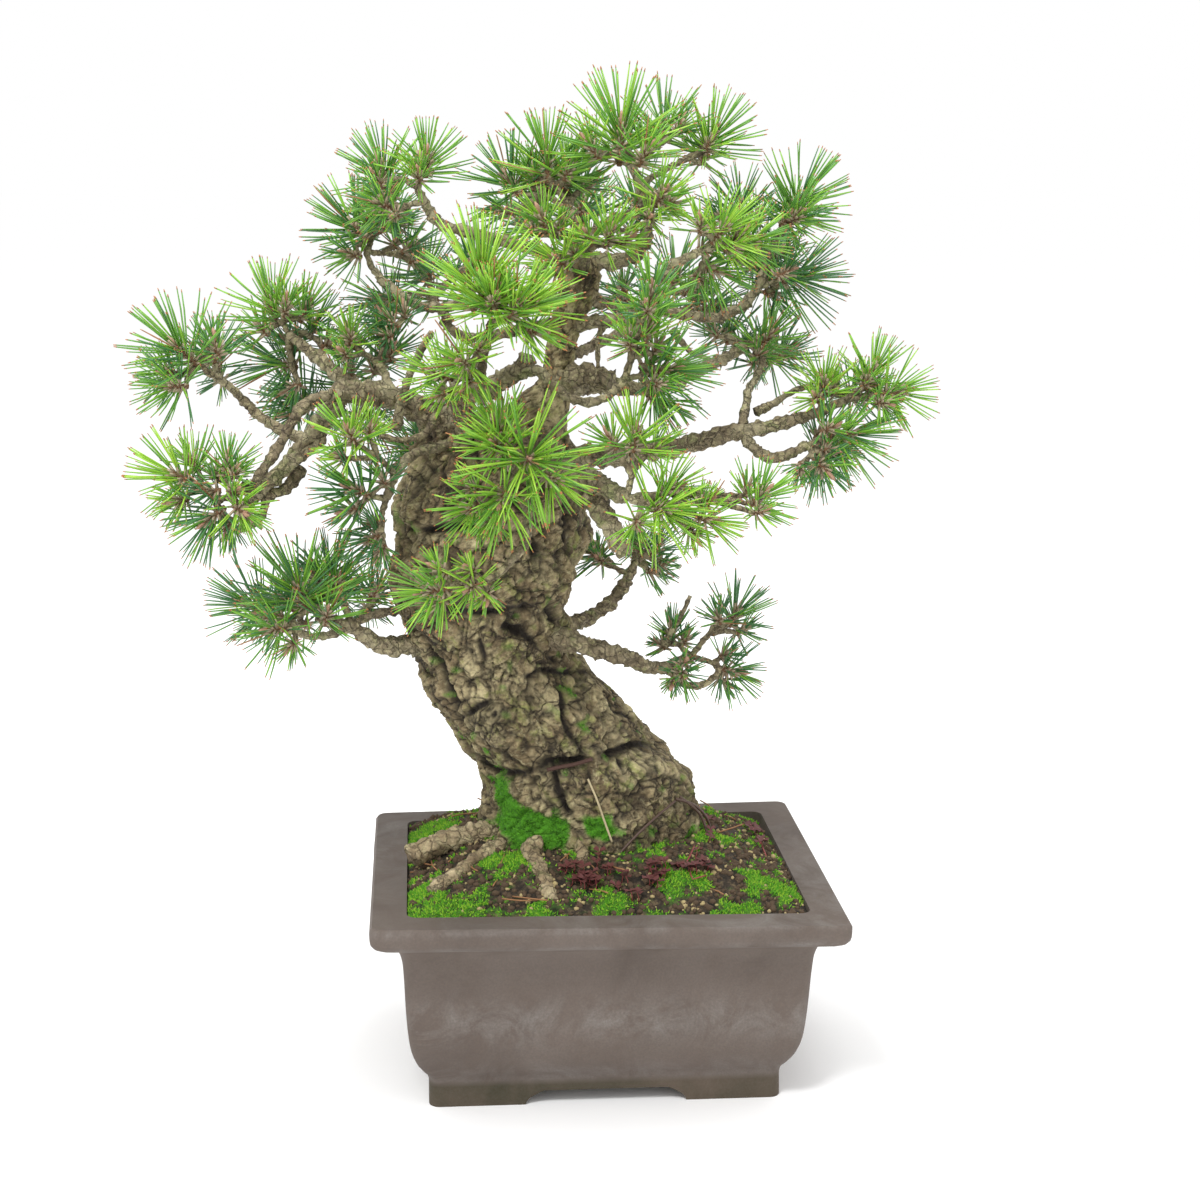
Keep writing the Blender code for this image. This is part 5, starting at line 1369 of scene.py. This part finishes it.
def bark_plates(point, size):
    """Height of a bark plate at a place and how deep in a crack it lies, from warped cells."""
    at = Vector(point) / size
    warp = Vector([noise.noise(at * 1.7 + Vector(shift)) for shift in ((0, 0, 0), (9, 0, 0), (0, 9, 0))])
    at += warp * 0.55
    distances, corners = noise.voronoi(at)
    crack = max(1 - (distances[1] - distances[0]) / 0.22, 0.0)
    level = noise.noise(Vector(corners[0]) * 7.3)
    return level, crack


def trunk_rings():
    """For each point of the trunk its middle, the way outward, its radius and its share of relief."""
    top = TRUNK_LEVELS[-1][0]
    heights = TRUNK_BOTTOM + (top - TRUNK_BOTTOM) * np.linspace(0, 1, TRUNK_RINGS)
    angles = np.linspace(0, 360, TRUNK_SIDES, endpoint=False)
    height, angle = (v.ravel() for v in np.meshgrid(heights, angles, indexing="ij"))
    x, y, half = trunk_middles(np.maximum(height, 150))
    turn = np.radians(angle)
    relief = np.zeros(len(height))
    for lump_angle, lump_height, spread, rise, size in TRUNK_LUMPS:
        away = (angle - lump_angle + 180) % 360 - 180
        relief += size * np.exp(-((away / spread) ** 2) - ((height - lump_height) / rise) ** 2)
    places = np.stack([np.cos(turn) * 2.4, np.sin(turn) * 2.4, height / 34], 1)
    relief += np.array([4.0 * noise.noise(Vector(p)) + 2.0 * noise.noise(Vector(p) * 2.3) for p in places])
    settle = np.clip((442 - height) / 26, 0.05, 1)
    out = np.stack([np.cos(turn), np.sin(turn) * DEPTH_RATIO, np.zeros(len(turn))], 1)
    return np.stack([x, y, height], 1), out, half + relief * settle, settle


def bark_change(skin):
    """How far bumps, creases and plates move each point of the trunk, and how dark to paint it: deep in a
    crack, with painted shade in its creases and hollows.
    """
    change = np.zeros(len(skin))
    crack_and_shade = np.zeros(len(skin))
    for px, py, width, size in TRUNK_BUMPS:
        gap = np.linalg.norm(skin - on_trunk(px, py), axis=1)
        change += size * np.exp(-((gap / width) ** 2))
    wobble = 1 + 0.5 * noise_at(skin, 6)
    # Creases sink the bark and are also painted near black, as shade.
    for width, depth, route in TRUNK_CREASES:
        gap = distance_to_route(skin, [on_trunk(px, py) for px, py in route])
        line = np.exp(-((gap / (width * wobble)) ** 2))
        change -= depth * line
        crack_and_shade = np.maximum(crack_and_shade, line)
    plates = np.array([bark_plates(p * [1, 1, 0.72], 14.0) for p in skin])
    small = np.array([bark_plates(p * [1, 1, 0.8], 4.6) for p in skin])
    billow = np.array([abs(noise.noise(Vector(p) / 19 + Vector((3, 3, 3)))) for p in skin])
    change += 2.6 * plates[:, 0] - 3.2 * plates[:, 1] ** 1.5 + 0.9 * small[:, 0] - 1.1 * small[:, 1] ** 2
    change += 5.0 * billow - 1.4 + 0.45 * noise_at(skin, 1.9)
    # Painted shade: the creases, the valleys between billows and every hollow that the change sinks are
    # painted dark as if shade fell there, along with the cracks between plates.
    crack_and_shade = np.clip(crack_and_shade * 1.5, 0, 1)
    crack_and_shade = np.maximum(crack_and_shade, plates[:, 1] ** 1.5 * 0.95)
    crack_and_shade = np.maximum(crack_and_shade, small[:, 1] ** 2.5 * 0.6)
    crack_and_shade = np.maximum(crack_and_shade, np.clip(1 - billow / 0.07, 0, 1) * 0.7)
    crack_and_shade = np.maximum(crack_and_shade, np.clip(-change / 5.0, 0, 1) * 0.85)
    return change, crack_and_shade


def foot_moss(skin):
    """How mossy each point of the trunk is: in patches and low all round."""
    moss = np.zeros(len(skin))
    for px, py, size in FOOT_MOSS:
        gap = np.linalg.norm(skin - on_trunk(px, py), axis=1)
        moss = np.maximum(moss, 1.7 - gap / size)
    low = np.clip((168 - skin[:, 2]) / 20, 0, 1) * 0.45
    return np.clip((np.maximum(moss, low) + noise_at(skin, 8) * 0.7 - 0.28) * 2.4, 0, 1)


def make_trunk():
    """The trunk with its bark and the moss at its foot; gives its points."""
    middle, out, radius, settle = trunk_rings()
    skin = middle + out * radius[:, None]
    change, crack_and_shade = bark_change(skin)
    points = middle + out * (radius + change * settle)[:, None]
    moss = foot_moss(skin)
    faces = ring_faces(TRUNK_RINGS, TRUNK_SIDES)
    # The painted shade and dark cracks give way to moss at the foot.
    values = {"crack_and_shade": crack_and_shade * (1 - moss), "moss": moss}
    piece("trunk_bark", points, faces, BARK, "bark", ["trunk"], values=values)
    make_leader()
    rng = np.random.default_rng(SEED + 1)
    places, normals = scatter_on(points, faces, moss**2 + 1e-6, TRUNK_MOSS_COUNT, rng)
    lengths = rng.uniform(1.0, 2.4, TRUNK_MOSS_COUNT)
    widths = rng.uniform(0.35, 0.7, TRUNK_MOSS_COUNT)
    write_shape(spikes(places, normals, lengths, widths, 0.5, rng), "trunk_moss", MOSS, "bark")
    return points


def make_leader():
    """The slim leader over the trunk's shoulder, its plates smaller than the trunk's."""
    route = smooth_route(LEADER_ROUTE, 1.2)
    heights = [p.z for p in route]
    radii = np.interp(heights, [p[2] for p in LEADER_ROUTE], LEADER_RADII)
    rings, cracks = [], []
    for place, radius, (across, other) in zip(route, radii, frames_along(route)):
        for side in range(LEADER_SIDES):
            out = spoke(across, other, math.tau * side / LEADER_SIDES)
            at = place + out * float(radius)
            level, crack = bark_plates((at.x, at.y, at.z * 0.8), 6.5)
            swell = 1.6 * abs(noise.noise(at / 11)) + 0.9 * level - 1.3 * crack**1.5
            swell += 0.3 * noise.noise(at / 1.8)
            rings.append(place + out * (float(radius) + swell - 0.4))
            # The leader's cracks go into the same near-black value: crack colour and painted shade together.
            cracks.append(crack**2 * 0.8)
    values = {"crack_and_shade": cracks, "moss": np.zeros(len(rings))}
    piece("leader_bark", rings, ring_faces(len(route), LEADER_SIDES), BARK, "bark", values=values)


# Limbs


def make_limbs():
    """Boughs and roots with rough bark, and the finer limbs that the photograph shows."""
    roots, boughs = Batch(), Batch()
    for name, base, tip, places in ROOTS:
        route = smooth_route(places, 1.6)
        radii = tapered(len(route), base, tip, len(places) + base, 0.5, 9)
        rough_tube(roots, route, radii, ROOT_SKIN, name)
    for name, base, tip, places in BOUGHS:
        route = smooth_route(places, 1.8)
        radii = tapered(len(route), base * 1.12 + 0.3, tip * 1.12 + 0.3, len(places) + base, 0.35, 6)
        rough_tube(boughs, route, radii, BOUGH_SKIN, name)
    for index, (base, tip, places) in enumerate(FINE_LIMBS):
        route = smooth_route([at_depth(*place) for place in places], 1.8)
        radii = tapered(len(route), base * 1.15, tip * 1.15, index, 0.3, 4)
        rough_tube(boughs, route, radii, FINE_LIMB_SKIN)
    roots.write("roots", ROOT_BARK, "root_bark")
    boughs.write("boughs", BOUGH_BARK, "twig_bark")


# Twigs and needles


def twig_route(start, end, rng):
    bend = Vector((rng.uniform(-1, 1), rng.uniform(-1, 1), rng.uniform(-0.6, 0.6)))
    middle = (start + end) / 2 + bend * (end - start).length * TWIG_BEND
    return [start, middle, end]


def new_twig(start, middle, aim, reach, shade, rng):
    """A twig from its start to the middle of the spray at its end."""
    route = twig_route(start, middle, rng)
    return {"route": route, "middle": middle, "aim": aim, "reach": reach, "shade": shade}


def twig_beside(main, around, aside, back, spread, share, rng):
    """A shorter twig from the middle of a main one; aside and back are shares of the main reach."""
    aim, reach = main["aim"], main["reach"]
    across = aim.orthogonal().normalized()
    side = spoke(across, aim.cross(across), around)
    middle = main["middle"] + side * reach * aside - aim * reach * back
    heading = (aim + side * spread).normalized()
    return new_twig(main["route"][1], middle, heading, reach * share, main["shade"], rng)


def side_twig(main, rng):
    """The side shoot that the source's rule gives a long main twig."""
    return twig_beside(main, rng.uniform(0, math.tau), 0.46, 0.16, 0.9, 0.72, rng)


def fine_twigs(main, rng):
    """Shorter shoots beside a spray, within its reach, finer than the source's."""
    start = rng.uniform(0, math.tau)
    for number in range(FINE_SHOOTS):
        around = start + math.tau * (number + rng.uniform(-0.15, 0.15)) / FINE_SHOOTS
        yield twig_beside(main, around, 0.34, rng.uniform(0.05, 0.30), 0.75, FINE_SHARE, rng)


def limb_rods():
    """The thick limbs as rods with their radii, to keep needles out of them."""
    rods = []
    for _, base, tip, places in BOUGHS:
        route = smooth_route(places, 12.0)
        radii = tapered(len(route), base, tip, 0)
        rods += [(*a, *b, r) for a, b, r in zip(route, route[1:], radii)]
    route = [Vector(p) for p in LEADER_ROUTE]
    rods += [(*a, *b, r) for a, b, r in zip(route, route[1:], LEADER_RADII)]
    return np.array(rods)


RODS = limb_rods()


def is_clear(starts, ends):
    """For each needle whether it keeps out of the trunk and the thick limbs."""
    clear = np.ones(len(starts), bool)
    for share in TEST_SHARES:
        at = starts + (ends - starts) * share
        x, y, half = trunk_middles(at[:, 2])
        aside = (at[:, 0] - x) / (half + TRUNK_ROOM)
        behind = (at[:, 1] - y) / (half * DEPTH_RATIO + TRUNK_ROOM)
        clear &= (np.hypot(aside, behind) > 1) | (at[:, 2] > TRUNK_SHOULDER)
        for rod in RODS:
            start, end, radius = rod[:3], rod[3:6], rod[6]
            along = end - start
            t = np.clip((at - start) @ along / (along @ along), 0, 1)
            clear &= np.linalg.norm(at - start - t[:, None] * along, axis=1) > radius + LIMB_ROOM
    return clear


def blades(roots, headings, lengths, bends, widths, rolls):
    """Curved three-sided needles: their points, faces, and the points and faces of their cut tips."""
    across = unit(np.cross(headings, np.array(NEEDLE_ACROSS)))
    other = np.cross(headings, across)

    def rings(stops):
        points = []
        for t, width in stops:
            centre = roots + headings * (lengths * t)[:, None] + bends * (lengths * t * t)[:, None]
            for turn in range(3):
                angle = rolls + math.tau * turn / 3
                out = across * np.cos(angle)[:, None] + other * np.sin(angle)[:, None]
                points.append(centre + out * (widths * width)[:, None])
        faces = repeated(ring_faces(len(stops), 3), len(roots), len(stops) * 3)
        return np.stack(points, 1).reshape(-1, 3), faces

    return *rings(NEEDLE_LEVELS), *rings(TIP_LEVELS)


def needle_pairs(spray, rng):
    """Roots, headings and lengths of a spray's needle pairs, all round its shoot."""
    reach = spray["reach"]
    pairs = int(round(PAIRS_LEAST + reach * PAIRS_PER_REACH))
    aim = np.array(spray["aim"])
    across = np.array(spray["aim"].orthogonal().normalized())
    other = np.cross(aim, across)
    step = (np.arange(pairs) + 0.5) / pairs
    tilt = np.radians(FIRST_LEAN + LEAN_RANGE * step**0.85) + rng.normal(0, 0.13, pairs)
    around = GOLDEN_ANGLE * np.arange(pairs) + rng.uniform(0, math.tau) + rng.normal(0, 0.25, pairs)
    side = across * np.cos(around)[:, None] + other * np.sin(around)[:, None]
    headings = aim * np.cos(tilt)[:, None] + side * np.sin(tilt)[:, None]
    ahead = reach * HALF_SHOOT * (1 - 2 * step)
    roots = np.array(spray["middle"]) + aim * ahead[:, None] + side * 1.2
    lengths = reach * rng.uniform(0.84, 1.0, pairs) * np.where(tilt > 1.6, 0.86, 1.0)
    lengths -= np.maximum(ahead * np.cos(tilt), 0)
    return roots, headings, lengths


def open_pairs(roots, headings, lengths, rng):
    """Roots, headings and lengths of the two needles of each pair, which stand a little apart."""
    split = rng.normal(0, 1, headings.shape)
    split = unit(split - headings * (split * headings).sum(1)[:, None])
    opening = rng.uniform(0.015, 0.065, len(roots))[:, None]
    heading = np.concatenate([unit(headings + split * opening * sign) for sign in (-1, 1)])
    root = np.concatenate([roots - split * 0.35, roots + split * 0.35])
    length = np.concatenate([lengths, lengths * rng.uniform(0.95, 1.0, len(lengths))])
    return root, heading, length


def grow_spray(spray, batches, rng):
    """One spray: pairs of needles in the lit and shaded greens of its shade, with sheaths and cut tips."""
    roots, headings, lengths = needle_pairs(spray, rng)
    keep = is_clear(roots, roots + headings * lengths[:, None])
    roots, headings, lengths = roots[keep], headings[keep], lengths[keep]
    if not len(roots):
        return
    root, heading, length = open_pairs(roots, headings, lengths, rng)
    aim = np.array(spray["aim"])
    bend = aim * rng.uniform(0.0, 0.12, len(root))[:, None] + rng.normal(0, 0.022, root.shape)
    bend[:, 2] -= 0.035 if spray["shade"] == "dark" else 0.012
    bend -= heading * (bend * heading).sum(1)[:, None]
    width = NEEDLE_RADIUS * rng.uniform(0.85, 1.12, len(root)) * np.clip(length / 34, 0.8, 1.0)
    roll = rng.uniform(0, math.tau, len(root))
    # Painted light and shade: each needle takes one of the lit or shaded greens of its spray's shade, and a
    # few are dry.
    names, shares = zip(*LIT_AND_SHADED_GREENS[spray["shade"]])
    colour = rng.choice(len(names) + 1, len(root), p=[s * (1 - DRY_SHARE) for s in shares] + [DRY_SHARE])
    for number, name in enumerate(names + ("dry_needle",)):
        chosen = colour == number
        if not chosen.any():
            continue
        body, body_faces, tips, tip_faces = blades(
            root[chosen], heading[chosen], length[chosen], bend[chosen], width[chosen], roll[chosen]
        )
        batches[name + "s"].add(body, body_faces, spray["node"])
        batches["needle_tips"].add(tips, tip_faces)
    add_sheaths(roots, headings, batches["needle_sheaths"], rng)


def add_sheaths(roots, headings, batch, rng):
    """The pale papery sleeve at the foot of each pair."""
    across = unit(np.cross(headings, rng.normal(0, 1, headings.shape)))
    other = np.cross(headings, across)
    lengths = rng.uniform(3.5, 6.5, len(roots))
    rings = []
    for share, width in ((-0.1, 1.0), (1.0, 0.85)):
        for turn in range(4):
            out = spoke(across, other, math.tau * turn / 4)
            rings.append(roots + headings * (lengths * share)[:, None] + out * width)
    batch.add(np.stack(rings, 1).reshape(-1, 3), repeated(ring_faces(2, 4), len(roots), len(rings)))


def grow_shoot(spray, shoots, buds, rng):
    """The scaly shoot that the needles stand on, with buds at its end."""
    aim = spray["aim"]
    reach = spray["reach"]
    start = spray["middle"] - aim * reach * 0.24
    end = spray["middle"] + aim * reach * HALF_SHOOT
    route = smooth_route([start, spray["middle"], end], 1.1)
    radii = [1.7 + 0.35 * math.sin(step * 2.4) for step in range(len(route))]
    rough_tube(shoots, route, radii, SHOOT_SKIN)
    points, faces = ball(1.0)
    count = 3 if spray["shade"] == "bright" else 1
    for number in range(count):
        tip = aim + Vector(rng.normal(0, 0.30, 3)) * (number > 0)
        turn = np.array(tip.normalized().to_track_quat("Z", "Y").to_matrix())
        size = rng.uniform(0.8, 1.1) * (2.5 if number == 0 else 1.8)
        shape = (points * [size * 0.62, size * 0.62, size * 2.0]) @ turn.T
        buds.add(shape + np.array(end + tip.normalized() * size * 1.4), faces)


def grow_twig(spray, node, index, batches, rng):
    """One twig with the shoot, the buds and the spray at its end."""
    spray["node"] = node
    end = spray["middle"] - spray["aim"] * spray["reach"] * 0.18
    route = smooth_route([*spray["route"][:2], end], 1.6)
    radii = tapered(len(route), TWIG_TIP_RADIUS * 1.35, TWIG_TIP_RADIUS * 1.1, index)
    rough_tube(batches["twigs"], route, radii, TWIG_SKIN)
    grow_shoot(spray, batches["shoots"], batches["buds"], rng)
    grow_spray(spray, batches, rng)


def grow_mass(mass, index, batches, fine):
    """A mass by the source's rule and its random numbers, carried on to finer twigs by others."""
    name, radius, places, sprays = mass
    rng = random.Random(SEED * 100 + index)
    coarse_route = smooth_route(places, STEM_STEP)
    stem = smooth_route(places, 1.6)
    radii = tapered(len(stem), radius * 1.35, max(radius * 1.05, TWIG_TIP_RADIUS * 1.2), index, 0.2, 4)
    rough_tube(batches["twigs"], stem, radii, STEM_SKIN, name)
    for place, aim, reach, shade in sprays:
        middle = Vector(place)
        start = min(coarse_route[len(coarse_route) // 2 :], key=lambda node: (node - middle).length)
        main = new_twig(start, middle, Vector(aim).normalized(), float(reach), shade, rng)
        grown = [main]
        if reach >= SIDE_SHOOT_REACH:
            grown.append(side_twig(main, rng))
        grown += fine_twigs(main, fine)
        for spray in grown:
            grow_twig(spray, name, index, batches, fine)


def make_foliage():
    """Every mass as twigs, scaly shoots, buds, needles of each lit and shaded colour, cut tips and sheaths.
    """
    kinds = [("twigs", BOUGH_BARK, "twig_bark"), ("shoots", SHOOT_BARK, "twig_bark")]
    kinds.append(("buds", BUD, "needles"))
    kinds += [(name + "s", material, "needles") for name, material in NEEDLE_COLOURS.items()]
    kinds += [("dry_needles", DRY, "needles"), ("needle_tips", CUT_TIP, "needles")]
    kinds.append(("needle_sheaths", SHEATH, "needles"))
    batches = {name: Batch() for name, _, _ in kinds}
    fine = np.random.default_rng(SEED + 2)
    for index, mass in enumerate(MASSES):
        grow_mass(mass, index, batches, fine)
    for name, material, slot in kinds:
        batches[name].write(name, material, slot)


# Stage


def make_floor():
    """A white floor without gloss."""
    mesh = bpy.data.meshes.new("floor")
    corners = [(x * FLOOR_HALF, y * FLOOR_HALF, 0) for x, y in ((-1, -1), (1, -1), (1, 1), (-1, 1))]
    mesh.from_pydata(corners, [], [(0, 1, 2, 3)])
    floor = bpy.data.objects.new("floor", mesh)
    bpy.context.scene.collection.objects.link(floor)
    material, _, shader = new_material("floor", (1.0, 1.0, 1.0), 1.0)
    shader.inputs["Specular IOR Level"].default_value = 0.0
    mesh.materials.append(material)


def make_light():
    """An even white surrounding and three soft lamps."""
    world = bpy.data.worlds.new("studio")
    world.use_nodes = True
    background = world.node_tree.nodes["Background"]
    background.inputs["Color"].default_value = (1.0, 1.0, 1.0, 1.0)
    background.inputs["Strength"].default_value = 1.0
    bpy.context.scene.world = world
    for name, place, energy, width in LIGHTS:
        light = bpy.data.lights.new(name, "AREA")
        light.energy = energy
        light.size = width
        lamp = bpy.data.objects.new(name, light)
        lamp.location = Vector(place) + Vector(ORIGIN)
        aim = Vector(LIGHT_AIM) - Vector(place)
        lamp.rotation_euler = aim.to_track_quat("-Z", "Y").to_euler()
        bpy.context.scene.collection.objects.link(lamp)


def make_camera():
    """The photograph's camera."""
    data = bpy.data.cameras.new("camera")
    data.sensor_width = SENSOR_WIDTH
    data.sensor_fit = "HORIZONTAL"
    data.lens = SENSOR_WIDTH * FOCAL_PIXELS / PHOTO_SIZE
    data.clip_start = 0.05
    data.clip_end = 100.0
    camera = bpy.data.objects.new("camera", data)
    turn = Matrix((RIGHT, UP, -FORWARD)).transposed().to_4x4()
    camera.matrix_world = Matrix.Translation(EYE * MM + Vector(ORIGIN)) @ turn
    bpy.context.scene.collection.objects.link(camera)
    bpy.context.scene.camera = camera
    bpy.context.scene.view_settings.view_transform = "Standard"


make_pot()
soil_points, soil_faces, soil_moss = make_soil()
ground_cover(soil_points, soil_faces, soil_moss)
make_wires(make_trunk())
make_limbs()
make_foliage()
make_floor()
make_light()
make_camera()
